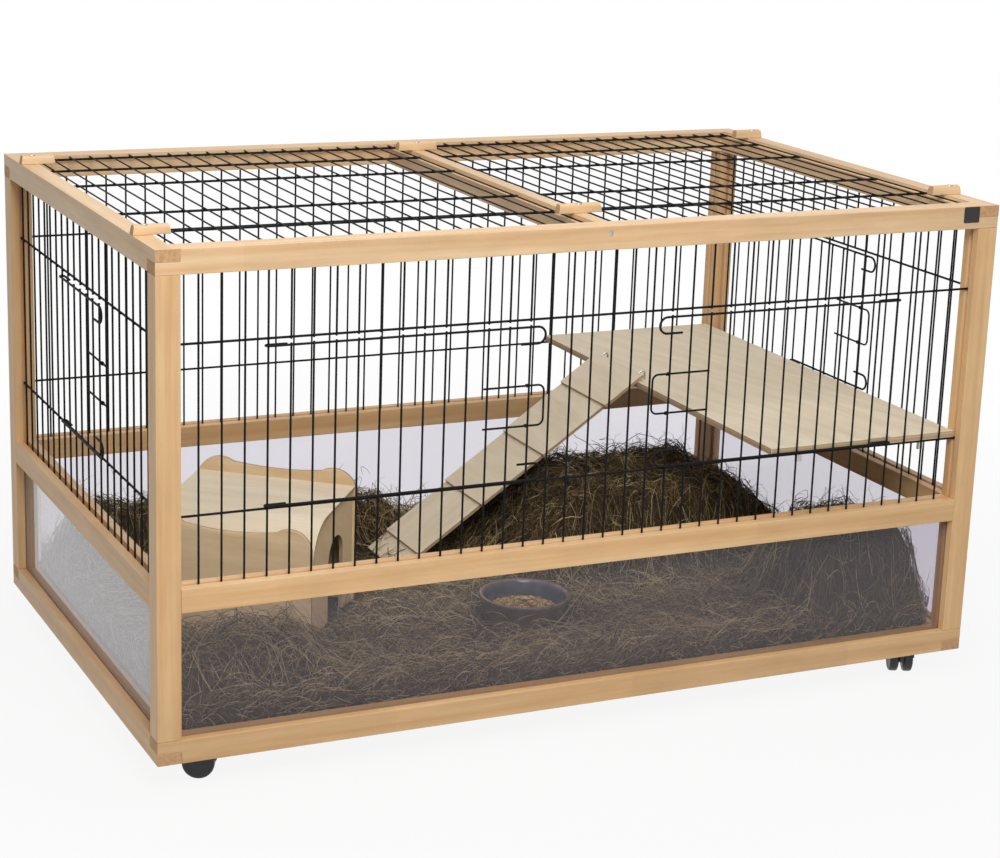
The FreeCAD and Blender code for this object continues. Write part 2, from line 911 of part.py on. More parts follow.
# A heap of hay narrows upwards by the run of its left, right, front and back slopes
def heap(x0, x1, y0, y1, height, slopes):
    left, right, front, back = slopes
    ground = [(x0, y0), (x1, y0), (x1, y1), (x0, y1)]
    near = y0 + front
    far = y1 - back
    crown = [(x0 + left, near), (x1 - right, near), (x1 - right, far), (x0 + left, far)]
    low = [Vec(x, y, bed_top) for x, y in ground]
    high = [Vec(x, y, bed_top + height) for x, y in crown]
    return stacked([low, high])


# A flat bed round the bowl's square pocket, with heaps at the back, in the right corner and before the house
def hay_bedding():
    x1 = inner_x - bed_play
    y1 = inner_y - bed_play
    z0 = floor_top
    right_heap_x = platform_left - right_heap_run
    corner_x = x1 - corner_heap_length
    corner_y = corner_heap_depth - y1
    left_heap_end = left_heap_length - x1
    middle_x0 = left_heap_end + heap_gap
    middle_x1 = right_heap_x - heap_gap
    turn = math.radians(abs(house_yaw))
    house_reach = house_length / 2 * math.sin(turn) + (house_depth + house_ply) * math.cos(turn)
    front_heap_y = house_y - house_reach - heap_gap
    pocket = bowl_radius + bowl_pocket_gap
    left = bowl_x - pocket
    right = bowl_x + pocket
    return [
        block(-x1, left, -y1, y1, z0, bed_top),
        block(right, x1, -y1, y1, z0, bed_top),
        block(left, right, -y1, bowl_y - pocket, z0, bed_top),
        block(left, right, bowl_y + pocket, y1, z0, bed_top),
        heap(right_heap_x, x1, right_heap_y, y1, right_heap_height, right_heap_slopes),
        heap(-x1, left_heap_end, back_heap_y, y1, left_heap_height, left_heap_slopes),
        heap(middle_x0, middle_x1, back_heap_y, y1, middle_heap_height, middle_heap_slopes),
        heap(-x1, front_heap_length - x1, -y1, front_heap_y, front_heap_height, front_heap_slopes),
        heap(corner_x, x1, -y1, corner_y, corner_heap_height, corner_heap_slopes),
    ]


front_left = door_plan("front", False)
front_right = door_plan("front", True)
left_end = door_plan("left", False)
right_end = door_plan("right", True)
door_plans = {"front_left": front_left, "front_right": front_right, "left": left_end, "right": right_end}
grid_doors = {
    "front": front_left["own_wires"] + front_right["own_wires"],
    "right": right_end["own_wires"],
    "back": [],
    "left": left_end["own_wires"],
}

nodes = {}
for corner in ("front_left", "front_right", "back_left", "back_right"):
    x_sign = 1 if corner.endswith("right") else -1
    y_sign = 1 if corner.startswith("back") else -1
    nodes["post_" + corner] = [post(x_sign, y_sign)]
    nodes["caster_hood_" + corner] = [at_corner(caster_hood(), corner)]
    nodes["caster_wheels_" + corner] = [at_corner(caster_wheels(), corner)]
nodes["caster_plates"] = [at_corner(caster_plate(), corner) for corner in caster_yaws]

for name in sides:
    nodes["top_rail_" + name] = [drilled(top_rail(name))]
    nodes["bottom_rail_" + name] = [bottom_rail(name)]
    nodes["mid_rail_" + name] = [mid_rail(name)]
    nodes["pane_" + name] = [pane(name)]
    nodes["grid_" + name] = grid(name, grid_doors[name])

for name, plan in door_plans.items():
    nodes["door_" + name] = door(plan)
    nodes["latch_" + name] = latch(plan)

nodes["floor_panel"] = [floor_panel()]
nodes["centre_beam"] = [drilled(centre_beam())]
nodes["beam_screws"] = [turned(beam_screw(), turn) for turn in (0.0, 180.0)]
nodes["lid_left"] = left_lid()
nodes["lid_right"] = [mirrored(solid) for solid in left_lid()]

nodes["button_pivots"] = []
for row, y in (("front", -half_depth + button_inset), ("back", half_depth - button_inset)):
    for place in ("left", "middle", "right"):
        nodes["turn_button_" + row + "_" + place] = [button(place, y)]
        nodes["button_pivots"].append(button_pivot(place, y))

nodes["platform"] = [platform()]
nodes["platform_hooks"] = platform_hooks()
nodes["ramp"] = ramp()
nodes["food_bowl"] = [food_bowl()]
nodes["house_walls"] = [in_cage(solid) for solid in house_walls()]
nodes["house_roof"] = [in_cage(house_roof())]
nodes["hay_bedding"] = hay_bedding()

os.makedirs("parts", exist_ok=True)
for name, solids in nodes.items():
    Part.makeCompound(solids).exportStep("parts/" + name + ".step")
print(len(nodes), "nodes,", sum(len(solids) for solids in nodes.values()), "solids")
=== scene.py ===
import json
import math

import bmesh
import bpy
import numpy as np
from mathutils import Matrix, Vector


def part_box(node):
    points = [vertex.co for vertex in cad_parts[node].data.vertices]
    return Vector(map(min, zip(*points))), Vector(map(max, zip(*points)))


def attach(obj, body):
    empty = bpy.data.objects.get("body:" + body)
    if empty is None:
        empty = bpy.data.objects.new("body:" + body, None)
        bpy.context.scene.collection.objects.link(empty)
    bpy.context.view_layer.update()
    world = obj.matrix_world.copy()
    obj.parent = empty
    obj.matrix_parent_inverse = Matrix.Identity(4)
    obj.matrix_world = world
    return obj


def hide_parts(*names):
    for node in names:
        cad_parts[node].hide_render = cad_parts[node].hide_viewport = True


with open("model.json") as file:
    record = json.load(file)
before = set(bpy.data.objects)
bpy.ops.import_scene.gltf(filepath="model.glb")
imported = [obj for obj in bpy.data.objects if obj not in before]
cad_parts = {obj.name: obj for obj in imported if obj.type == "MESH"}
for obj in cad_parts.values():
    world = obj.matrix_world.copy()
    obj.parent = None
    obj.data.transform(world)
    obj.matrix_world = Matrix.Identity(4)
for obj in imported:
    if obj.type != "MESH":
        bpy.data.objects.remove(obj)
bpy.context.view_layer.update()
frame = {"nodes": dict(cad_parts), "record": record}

mm = 0.001
inMm = Matrix.Scale(mm, 4)
nodes = frame["nodes"]
bodyOf = {}
for body, members in frame["record"]["behaviour"]["bodies"].items():
    for member in members:
        bodyOf[member] = body
print("frame loaded:", len(nodes), "nodes")


# small tools for materials
def hexColor(text):
    parts = [int(text[k:k + 2], 16) / 255 for k in (1, 3, 5)]
    linear = [c / 12.92 if c <= 0.04045 else ((c + 0.055) / 1.055) ** 2.4 for c in parts]
    return (*linear, 1.0)


def addNode(tree, kind, inputs=None, stops=None, **settings):
    node = tree.nodes.new(kind)
    for name, value in settings.items():
        setattr(node, name, value)
    for socket, value in (inputs or {}).items():
        if isinstance(value, bpy.types.NodeSocket):
            tree.links.new(value, node.inputs[socket])
        else:
            node.inputs[socket].default_value = value
    for k, (place, color) in enumerate(stops or []):
        elements = node.color_ramp.elements
        element = elements[k] if k < len(elements) else elements.new(place)
        element.position = place
        element.color = hexColor(color) if isinstance(color, str) else grey(color)
    return node


def newMaterial(name, **inputs):
    material = bpy.data.materials.new(name)
    material.use_nodes = True
    tree = material.node_tree
    shader = tree.nodes["Principled BSDF"]
    for socket, value in inputs.items():
        shader.inputs[socket].default_value = value
    return material, tree, shader


def grey(value):
    return (value, value, value, 1.0)


# a cloud of one size in mm, fixed to the piece
def cloudNoise(tree, sizeMm, detail):
    place = addNode(tree, "ShaderNodeTexCoord").outputs["Object"]
    inputs = {"Vector": place, "Scale": 1 / (sizeMm * mm), "Detail": detail}
    return addNode(tree, "ShaderNodeTexNoise", inputs).outputs["Fac"]


# a cloud stretched along the fibre, from its size along and across in mm
def grainNoise(tree, sizeMm, detail):
    along, across = sizeMm
    grain = addNode(tree, "ShaderNodeAttribute", attribute_name="grain").outputs["Vector"]
    scale = (1 / (along * mm), 1 / (across * mm), 1 / (across * mm))
    spread = addNode(tree, "ShaderNodeMapping", {"Vector": grain, "Scale": scale}).outputs[0]
    inputs = {"Vector": spread, "Scale": 1.0, "Detail": detail, "Roughness": 0.6}
    return addNode(tree, "ShaderNodeTexNoise", inputs).outputs["Fac"]


# beech, planed and oiled: pale and plain, faint bands and clouds, short flecks, tone steps between staves
beechSet = {"bandMm": (400, 13), "cloudMm": (70, 24), "cloudSpread": 0.05, "fleckMm": (8, 0.8),
            "staveMm": 330.0, "staveSpread": 0.05, "endDark": "#BD9164", "endPale": "#D2A97D",
            "ringMm": (1000, 5), "poreMm": (1000, 0.7)}


def makeBeech(name, dark, mid, pale):
    material, tree, shader = newMaterial(name, Roughness=0.45, IOR=1.5)
    flecks = grainNoise(tree, beechSet["fleckMm"], 2.0)
    bands = grainNoise(tree, beechSet["bandMm"], 4.0)
    stops = [(0.30, dark), (0.50, mid), (0.70, pale)]
    bands = addNode(tree, "ShaderNodeValToRGB", {"Fac": bands}, stops).outputs[0]
    marks = addNode(tree, "ShaderNodeValToRGB", {"Fac": flecks}, [(0.24, 0.84), (0.34, 1.0)]).outputs[0]
    marked = addNode(tree, "ShaderNodeMix", {"Factor": 1.0, 6: bands, 7: marks}, data_type="RGBA",
                     blend_type="MULTIPLY").outputs[2]
    grain = addNode(tree, "ShaderNodeAttribute", attribute_name="grain").outputs["Vector"]
    along = addNode(tree, "ShaderNodeSeparateXYZ", {"Vector": grain}).outputs["X"]
    staveLength = beechSet["staveMm"] * mm
    count = addNode(tree, "ShaderNodeMath", {0: along, 1: staveLength}, operation="DIVIDE").outputs[0]
    stave = addNode(tree, "ShaderNodeMath", {0: count}, operation="FLOOR").outputs[0]
    pick = addNode(tree, "ShaderNodeTexWhiteNoise", {"W": stave}, noise_dimensions="1D").outputs["Value"]
    spread = beechSet["staveSpread"]
    step = addNode(tree, "ShaderNodeMapRange", {"Value": pick, "To Min": -spread, "To Max": spread}).outputs[0]
    joined = addNode(tree, "ShaderNodeAttribute", attribute_name="staves").outputs["Fac"]
    tone = addNode(tree, "ShaderNodeAttribute", attribute_name="tone").outputs["Fac"]
    inputs = {0: step, 1: joined, 2: tone}
    stepped = addNode(tree, "ShaderNodeMath", inputs, operation="MULTIPLY_ADD").outputs[0]
    spread = beechSet["cloudSpread"]
    cloud = addNode(tree, "ShaderNodeMapRange", {
        "Value": grainNoise(tree, beechSet["cloudMm"], 2.0),
        "From Min": 0.3,
        "From Max": 0.7,
        "To Min": 1 - spread,
        "To Max": 1 + spread,
    }).outputs[0]
    value = addNode(tree, "ShaderNodeMath", {0: stepped, 1: cloud}, operation="MULTIPLY").outputs[0]
    toned = addNode(tree, "ShaderNodeHueSaturation", {"Color": marked, "Value": value}).outputs[0]
    inputs = {"Height": flecks, "Strength": 0.12, "Distance": 0.3 * mm}
    bump = addNode(tree, "ShaderNodeBump", inputs).outputs[0]
    tree.links.new(toned, shader.inputs["Base Color"])
    tree.links.new(bump, shader.inputs["Normal"])
    return material


# beech end grain at the lapped corners: darker, with growth rings and open pores
def makeEndGrain():
    material, tree, shader = newMaterial("beechSawnEndGrain", Roughness=0.7, IOR=1.5)
    rings = grainNoise(tree, beechSet["ringMm"], 2.0)
    pores = grainNoise(tree, beechSet["poreMm"], 2.0)
    stops = [(0.30, beechSet["endDark"]), (0.65, beechSet["endPale"])]
    rings = addNode(tree, "ShaderNodeValToRGB", {"Fac": rings}, stops).outputs[0]
    pores = addNode(tree, "ShaderNodeValToRGB", {"Fac": pores}, [(0.30, 0.78), (0.42, 1.0)]).outputs[0]
    color = addNode(tree, "ShaderNodeMix", {"Factor": 1.0, 6: rings, 7: pores}, data_type="RGBA",
                    blend_type="MULTIPLY").outputs[2]
    tree.links.new(color, shader.inputs["Base Color"])
    return material


# birch plywood, sanded bare: a pale face with wide soft figure
plywoodSet = {"figureMm": (160, 20), "fibreMm": (26, 0.8), "edgeDark": "#B89B78", "edgePale": "#CBB291",
              "veneerMm": 1.5, "speckMm": 1.6}


def makePlywood(name, dark, mid, pale):
    material, tree, shader = newMaterial(name, Roughness=0.62, IOR=1.5)
    fibre = grainNoise(tree, plywoodSet["fibreMm"], 3.0)
    figure = grainNoise(tree, plywoodSet["figureMm"], 4.0)
    stops = [(0.28, dark), (0.50, mid), (0.74, pale)]
    figure = addNode(tree, "ShaderNodeValToRGB", {"Fac": figure}, stops).outputs[0]
    fibres = addNode(tree, "ShaderNodeValToRGB", {"Fac": fibre}, [(0.30, 0.95), (0.60, 1.0)]).outputs[0]
    color = addNode(tree, "ShaderNodeMix", {"Factor": 1.0, 6: figure, 7: fibres}, data_type="RGBA",
                    blend_type="MULTIPLY").outputs[2]
    inputs = {"Height": fibre, "Strength": 0.12, "Distance": 0.3 * mm}
    bump = addNode(tree, "ShaderNodeBump", inputs).outputs[0]
    tree.links.new(color, shader.inputs["Base Color"])
    tree.links.new(bump, shader.inputs["Normal"])
    return material


# sawn plywood edge: thin veneers, each second one end grain and darker
def makePlyEdge():
    material, tree, shader = newMaterial("birchPlywoodSawnEdge", Roughness=0.75, IOR=1.5)
    depth = addNode(tree, "ShaderNodeAttribute", attribute_name="plyDepth").outputs["Fac"]
    perPair = 1 / (2 * plywoodSet["veneerMm"] * mm)
    share = addNode(tree, "ShaderNodeMath", {0: depth, 1: perPair}, operation="MULTIPLY").outputs[0]
    wave = addNode(tree, "ShaderNodeMath", {0: share, 1: 1.0}, operation="PINGPONG").outputs[0]
    grain = addNode(tree, "ShaderNodeAttribute", attribute_name="grain").outputs["Vector"]
    inputs = {"Vector": grain, "Scale": 1 / (plywoodSet["speckMm"] * mm), "Detail": 3.0}
    speck = addNode(tree, "ShaderNodeTexNoise", inputs).outputs["Fac"]
    uneven = addNode(tree, "ShaderNodeMath", {0: speck, 1: 0.5, 2: wave}, operation="MULTIPLY_ADD").outputs[0]
    stops = [(0.45, plywoodSet["edgePale"]), (0.95, plywoodSet["edgeDark"])]
    color = addNode(tree, "ShaderNodeValToRGB", {"Fac": uneven}, stops).outputs[0]
    tree.links.new(color, shader.inputs["Base Color"])
    return material


# steel wire, black powder coat: a fine orange peel that breaks the highlight
def makeWireCoat():
    name = "steelWireBlackPowderCoat"
    material, tree, shader = newMaterial(name, Roughness=0.6, **{"Specular IOR Level": 0.15})
    peel = cloudNoise(tree, 1.2, 2.0)
    stops = [(0.3, "#0C0C0D"), (0.7, "#151516")]
    shade = addNode(tree, "ShaderNodeValToRGB", {"Fac": peel}, stops).outputs[0]
    bump = addNode(tree, "ShaderNodeBump", {"Height": peel, "Strength": 0.2, "Distance": 0.2 * mm}).outputs[0]
    tree.links.new(shade, shader.inputs["Base Color"])
    tree.links.new(bump, shader.inputs["Normal"])
    return material


# cast acrylic sheet: clear, with the sheen of a polished face and a dusty veil that thickens at a slant
acrylicSet = {"tint": "#F3F1F5", "veil": "#DAD6DC", "veilFacing": 0.02, "veilGrazing": 0.32, "gleam": 0.02}


def makeAcrylic():
    material, tree, shader = newMaterial("acrylicCastClear")
    tree.nodes.remove(shader)
    clear = addNode(tree, "ShaderNodeBsdfTransparent", {"Color": hexColor(acrylicSet["tint"])}).outputs[0]
    gloss = addNode(tree, "ShaderNodeBsdfGlossy", {"Color": grey(1.0), "Roughness": 0.03}).outputs[0]
    veil = addNode(tree, "ShaderNodeBsdfDiffuse", {"Color": hexColor(acrylicSet["veil"])}).outputs[0]
    slant = addNode(tree, "ShaderNodeLayerWeight", {"Blend": 0.5}).outputs["Facing"]
    path = addNode(tree, "ShaderNodeMath", {0: slant, 1: 2.0}, operation="POWER").outputs[0]
    inputs = {"Value": path, "To Min": acrylicSet["veilFacing"], "To Max": acrylicSet["veilGrazing"]}
    share = addNode(tree, "ShaderNodeMapRange", inputs).outputs[0]
    dusty = addNode(tree, "ShaderNodeMixShader", {0: share, 1: clear, 2: veil}).outputs[0]
    edge = addNode(tree, "ShaderNodeMath", {0: slant, 1: 5.0}, operation="POWER").outputs[0]
    gleam = addNode(tree, "ShaderNodeMapRange", {"Value": edge, "To Min": acrylicSet["gleam"]}).outputs[0]
    sheet = addNode(tree, "ShaderNodeMixShader", {0: gleam, 1: dusty, 2: gloss}).outputs[0]
    tree.links.new(sheet, tree.nodes["Material Output"].inputs["Surface"])
    return material


# nylon, moulded black: matt with a fine spark-eroded grain
def makeNylon():
    material, tree, shader = newMaterial("nylonMouldedBlack", Roughness=0.4, IOR=1.53)
    grit = cloudNoise(tree, 0.8, 3.0)
    stops = [(0.3, "#0B0B0D"), (0.7, "#141416")]
    shade = addNode(tree, "ShaderNodeValToRGB", {"Fac": grit}, stops).outputs[0]
    bump = addNode(tree, "ShaderNodeBump", {"Height": grit, "Strength": 0.15, "Distance": 0.2 * mm}).outputs[0]
    tree.links.new(shade, shader.inputs["Base Color"])
    tree.links.new(bump, shader.inputs["Normal"])
    return material


# steel, zinc plated: cool bright metal with a cloudy passivated film
def makeZinc():
    material, tree, shader = newMaterial("steelZincPlated", Metallic=1.0)
    cloud = cloudNoise(tree, 4, 4.0)
    stops = [(0.3, "#A9A8A2"), (0.7, "#CFCDC4")]
    shade = addNode(tree, "ShaderNodeValToRGB", {"Fac": cloud}, stops).outputs[0]
    rough = addNode(tree, "ShaderNodeMapRange", {"Value": cloud, "To Min": 0.28, "To Max": 0.42}).outputs[0]
    tree.links.new(shade, shader.inputs["Base Color"])
    tree.links.new(rough, shader.inputs["Roughness"])
    return material


# dry hay, loose: each stalk has its own tone from dark to pale straw; the darkest stop is partly the leafy
# hay's own colour and partly painted shade
haySet = {"leaf": "#20180E", "stem": "#55432A", "dry": "#917A52", "straw": "#CDB98C", "spotMm": 5}


def makeHay():
    material, tree, shader = newMaterial("hayDryLoose", Roughness=0.85, IOR=1.45)
    tone = addNode(tree, "ShaderNodeAttribute", attribute_name="tone").outputs["Fac"]
    spots = cloudNoise(tree, haySet["spotMm"], 3.0)
    inputs = {0: spots, 1: 0.35, 2: tone}
    shifted = addNode(tree, "ShaderNodeMath", inputs, operation="MULTIPLY_ADD").outputs[0]
    stops = [(0.15, haySet["leaf"]), (0.50, haySet["stem"]), (0.85, haySet["dry"]), (1.0, haySet["straw"])]
    color = addNode(tree, "ShaderNodeValToRGB", {"Fac": shifted}, stops).outputs[0]
    tree.links.new(color, shader.inputs["Base Color"])
    return material


# stoneware, dipped glaze: brown outside and on the rim, grey inside, wet looking
def makeGlaze(name, dark, pale):
    material, tree, shader = newMaterial(name, Roughness=0.22, IOR=1.52)
    pool = cloudNoise(tree, 14, 2.0)
    shade = addNode(tree, "ShaderNodeValToRGB", {"Fac": pool}, [(0.3, dark), (0.7, pale)]).outputs[0]
    tree.links.new(shade, shader.inputs["Base Color"])
    return material


# pressed food grains: dull, each with its own tone
def makeGrains():
    material, tree, shader = newMaterial("foodGrainsDry", Roughness=0.8, IOR=1.45)
    tone = addNode(tree, "ShaderNodeAttribute", attribute_name="tone").outputs["Fac"]
    stops = [(0.1, "#6B4C2A"), (0.5, "#B08B52"), (0.9, "#D6BB82")]
    shade = addNode(tree, "ShaderNodeValToRGB", {"Fac": tone}, stops).outputs[0]
    tree.links.new(shade, shader.inputs["Base Color"])
    return material


beech = makeBeech("beechPlanedOiled", "#D8AE80", "#E1BD91", "#E9CAA1")
# a darker, warmer copy of the beech for the posts and the low rails: painted shade, where less light falls than
# on the top rails
paintedShadeBeech = makeBeech("beechPlanedOiledHeartwood", "#D6A672", "#E0B582", "#E8C291")
endGrain = makeEndGrain()
plywood = makePlywood("birchPlywoodSanded", "#E0CFB2", "#EAD9BE", "#F0E3CB")
wallPly = makePlywood("birchPlywoodWallFace", "#E3C498", "#ECD0A6", "#F1DAB6")
warmPly = makePlywood("birchPlywoodWarmFace", "#DFBD8D", "#E8C99D", "#EFD6B1")
plyEdge = makePlyEdge()
wireCoat = makeWireCoat()
acrylic = makeAcrylic()
nylon = makeNylon()
zinc = makeZinc()
hay = makeHay()
brownGlaze = makeGlaze("stonewareBrownGlaze", "#5E4840", "#78625A")
greyGlaze = makeGlaze("stonewareGreyGlaze", "#3C4048", "#555962")
grains = makeGrains()
print("materials ready")


# small tools for meshes; a soup is a list of points and faces, in mm unless said
def newSoup():
    return {"points": [], "faces": []}


# rings of points, joined one to the next and closed at both ends
def addRings(soup, rings):
    base = len(soup["points"])
    sides = len(rings[0])
    for ring in rings:
        soup["points"] += ring
    for ring in range(len(rings) - 1):
        for k in range(sides):
            a = base + ring * sides + k
            b = base + ring * sides + (k + 1) % sides
            soup["faces"].append((a, b, b + sides, a + sides))
    last = base + (len(rings) - 1) * sides
    soup["faces"].append(tuple(base + k for k in reversed(range(sides))))
    soup["faces"].append(tuple(last + k for k in range(sides)))


# a wire along a line, with slightly rounded ends
tubeSet = {"endRise": 0.35, "endShare": 0.55}


def addTube(soup, points, radius, sides=10):
    line = [Vector(p) for p in points]
    ways = [(b - a).normalized() for a, b in zip(line, line[1:])]
    joints = [ways[0]] + [(a + b).normalized() for a, b in zip(ways, ways[1:])] + [ways[-1]]
    across = joints[0].orthogonal().normalized()
    rise = radius * tubeSet["endRise"]
    stations = [(line[0] - joints[0] * rise, tubeSet["endShare"], joints[0])]
    stations += [(p, 1.0, way) for p, way in zip(line, joints)]
    stations.append((line[-1] + joints[-1] * rise, tubeSet["endShare"], joints[-1]))
    rings = []
    for place, share, way in stations:
        across = (across - way * across.dot(way)).normalized()
        up = way.cross(across)
        angles = [2 * math.pi * k / sides for k in range(sides)]
        rings.append([place + (across * math.cos(a) + up * math.sin(a)) * radius * share for a in angles])
    addRings(soup, rings)


# weld beads, food grains and the like: a ball pressed into an ellipsoid
def addBead(soup, centre, size, sides=8, rows=4, turn=Matrix.Identity(3)):
    base = len(soup["points"])
    centre = Vector(centre)
    for row in range(1, rows):
        lift = math.pi * row / rows
        for k in range(sides):
            angle = 2 * math.pi * k / sides
            offset = (math.sin(lift) * math.cos(angle), math.sin(lift) * math.sin(angle), math.cos(lift))
            soup["points"].append(centre + turn @ Vector(o * s for o, s in zip(offset, size)))
    top = len(soup["points"])
    pole = turn @ Vector((0, 0, size[2]))
    soup["points"] += [centre + pole, centre - pole]
    for k in range(sides):
        following = (k + 1) % sides
        soup["faces"].append((top, base + k, base + following))
        for row in range(rows - 2):
            a = base + row * sides + k
            b = base + row * sides + following
            soup["faces"].append((a, a + sides, b + sides, b))
        low = base + (rows - 2) * sides
        soup["faces"].append((top + 1, low + following, low + k))


# a turned form from pairs of radius and height along z
def addTurned(soup, profile, sides, matrix=Matrix.Identity(4)):
    turns = [2 * math.pi * k / sides for k in range(sides)]
    rings = []
    for radius, height in profile:
        rings.append([matrix @ Vector((radius * math.cos(a), radius * math.sin(a), height)) for a in turns])
    addRings(soup, rings)


# a screw from its shank end to its head, with a cross recess in the head; the head's top is at height 0
def addScrew(soup, profile, recess, matrix):
    arm, half, depth = recess
    cross = []
    for k in range(4):
        quarter = Matrix.Rotation(math.pi / 2 * k, 3, "Z")
        cross += [quarter @ Vector(p) for p in ((arm, -half, 0), (arm, half, 0), (half, half, 0))]
    rings = []
    for radius, height in profile:
        rings.append([matrix @ (p.normalized() * radius + Vector((0, 0, height))) for p in cross])
    rings.append([matrix @ p for p in cross])
    rings.append([matrix @ (p - Vector((0, 0, depth))) for p in cross])
    addRings(soup, rings)


# straight runs with a true arc at each inner corner
def bentLine(points, radii, steps=7):
    line = [Vector(points[0])]
    for before, corner, after, radius in zip(points, points[1:], points[2:], radii):
        before, corner, after = Vector(before), Vector(corner), Vector(after)
        wayIn = (corner - before).normalized()
        wayOut = (after - corner).normalized()
        turn = wayIn.angle(wayOut)
        inward = (wayOut - wayIn * wayIn.dot(wayOut)).normalized()
        start = corner - wayIn * radius * math.tan(turn / 2)
        centre = start + inward * radius
        for k in range(steps + 1):
            angle = turn * k / steps
            line.append(centre - inward * radius * math.cos(angle) + wayIn * radius * math.sin(angle))
    line.append(Vector(points[-1]))
    return [p for k, p in enumerate(line) if k == 0 or (p - line[k - 1]).length > 1e-6]


def setFloats(mesh, name, values):
    mesh.attributes.new(name, "FLOAT", "POINT").data.foreach_set("value", values)


def smoothTo(mesh, sharpDeg):
    mesh.shade_smooth()
    mesh.set_sharp_from_angle(angle=math.radians(sharpDeg))


def finishPiece(name, mesh, materials, body, replaced):
    for material in materials:
        mesh.materials.append(material)
    piece = bpy.data.objects.new(name, mesh)
    bpy.context.scene.collection.objects.link(piece)
    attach(piece, body)
    if replaced:
        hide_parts(*replaced)
    return piece


def soupPiece(name, soup, material, body, replaced, sharpDeg=40, matrix=inMm, extra=()):
    mesh = bpy.data.meshes.new(name)
    mesh.from_pydata([matrix @ Vector(p) for p in soup["points"]], [], soup["faces"])
    mesh.validate()
    smoothTo(mesh, sharpDeg)
    return finishPiece(name, mesh, [material, *extra], body, replaced)


# connected groups of points, one for each solid
def looseParts(bm):
    left = set(bm.verts)
    parts = []
    while left:
        front = [left.pop()]
        part = list(front)
        while front:
            for edge in front.pop().link_edges:
                for vert in edge.verts:
                    if vert in left:
                        left.remove(vert)
                        front.append(vert)
                        part.append(vert)
        parts.append(part)
    return parts


# the CAD solid of a node, with joined faces; parts narrower than the least width are left out
def cadMesh(node, leastMm=0.0):
    bm = bmesh.new()
    bm.from_mesh(nodes[node].data)
    bmesh.ops.remove_doubles(bm, verts=bm.verts, dist=1e-6)
    bmesh.ops.dissolve_limit(bm, angle_limit=math.radians(0.5), verts=bm.verts, edges=bm.edges)
    for part in looseParts(bm):
        if max(v.co.y for v in part) - min(v.co.y for v in part) < leastMm * mm:
            bmesh.ops.delete(bm, geom=part, context="VERTS")
    return bm


def easeEdges(bm, easeMm, sharpDeg=30):
    paired = [e for e in bm.edges if len(e.link_faces) == 2]
    sharp = [e for e in paired if e.calc_face_angle(0.0) > math.radians(sharpDeg)]
    bmesh.ops.bevel(bm, geom=sharp, offset=easeMm * mm, segments=2, profile=0.5, affect="EDGES",
                    clamp_overlap=True)


def camelName(node):
    words = node.split("_")
    return words[0] + "".join(word.capitalize() for word in words[1:])


# a moulded or pressed piece: the CAD solid with its edges eased
def easedPiece(node, material, easeMm, smoothDeg=35):
    bm = cadMesh(node)
    easeEdges(bm, easeMm)
    mesh = bpy.data.meshes.new(camelName(node))
    bm.to_mesh(mesh)
    bm.free()
    smoothTo(mesh, smoothDeg)
    return finishPiece(camelName(node), mesh, [material], bodyOf[node], [node])


# a wooden piece: edges eased, fibres along its length, sawn edges and end grain marked
woodSet = {"seed": 5, "shift": 5, "tones": (0.96, 1.03), "endFacing": 0.9, "smoothDeg": 20, "sawnWidth": 1.3,
           "sawnLength": 2, "sawnDeg": 50}
grainRandom = np.random.default_rng(woodSet["seed"])


# a narrow face between two sharp edges is where a sheet was sawn
def isSawn(face, plyMm):
    width = 2 * face.calc_area() / max(face.calc_perimeter(), 1e-9)
    sides = [e for e in face.edges if e.calc_length() > woodSet["sawnLength"] * plyMm * mm]
    isSharp = all(e.calc_face_angle(0.0) > math.radians(woodSet["sawnDeg"]) for e in sides)
    return width < woodSet["sawnWidth"] * plyMm * mm and isSharp


# the ways along the fibre and through the thickness: a sheet's from its largest face, a bar's from its sizes
def fibreWays(places, faces, isSheet):
    if isSheet:
        thin = max(faces, key=lambda f: f.calc_area()).normal.copy()
        flat = places - np.outer(places @ np.array(thin), np.array(thin))
        spread = np.linalg.svd(flat - flat.mean(0), full_matrices=False)[2]
        return Vector(spread[0]).normalized(), thin
    sizes = places.max(0) - places.min(0)
    along = Vector([1.0 if k == int(np.argmax(sizes)) else 0.0 for k in range(3)])
    thin = Vector([1.0 if k == int(np.argmin(sizes)) else 0.0 for k in range(3)])
    return along, thin


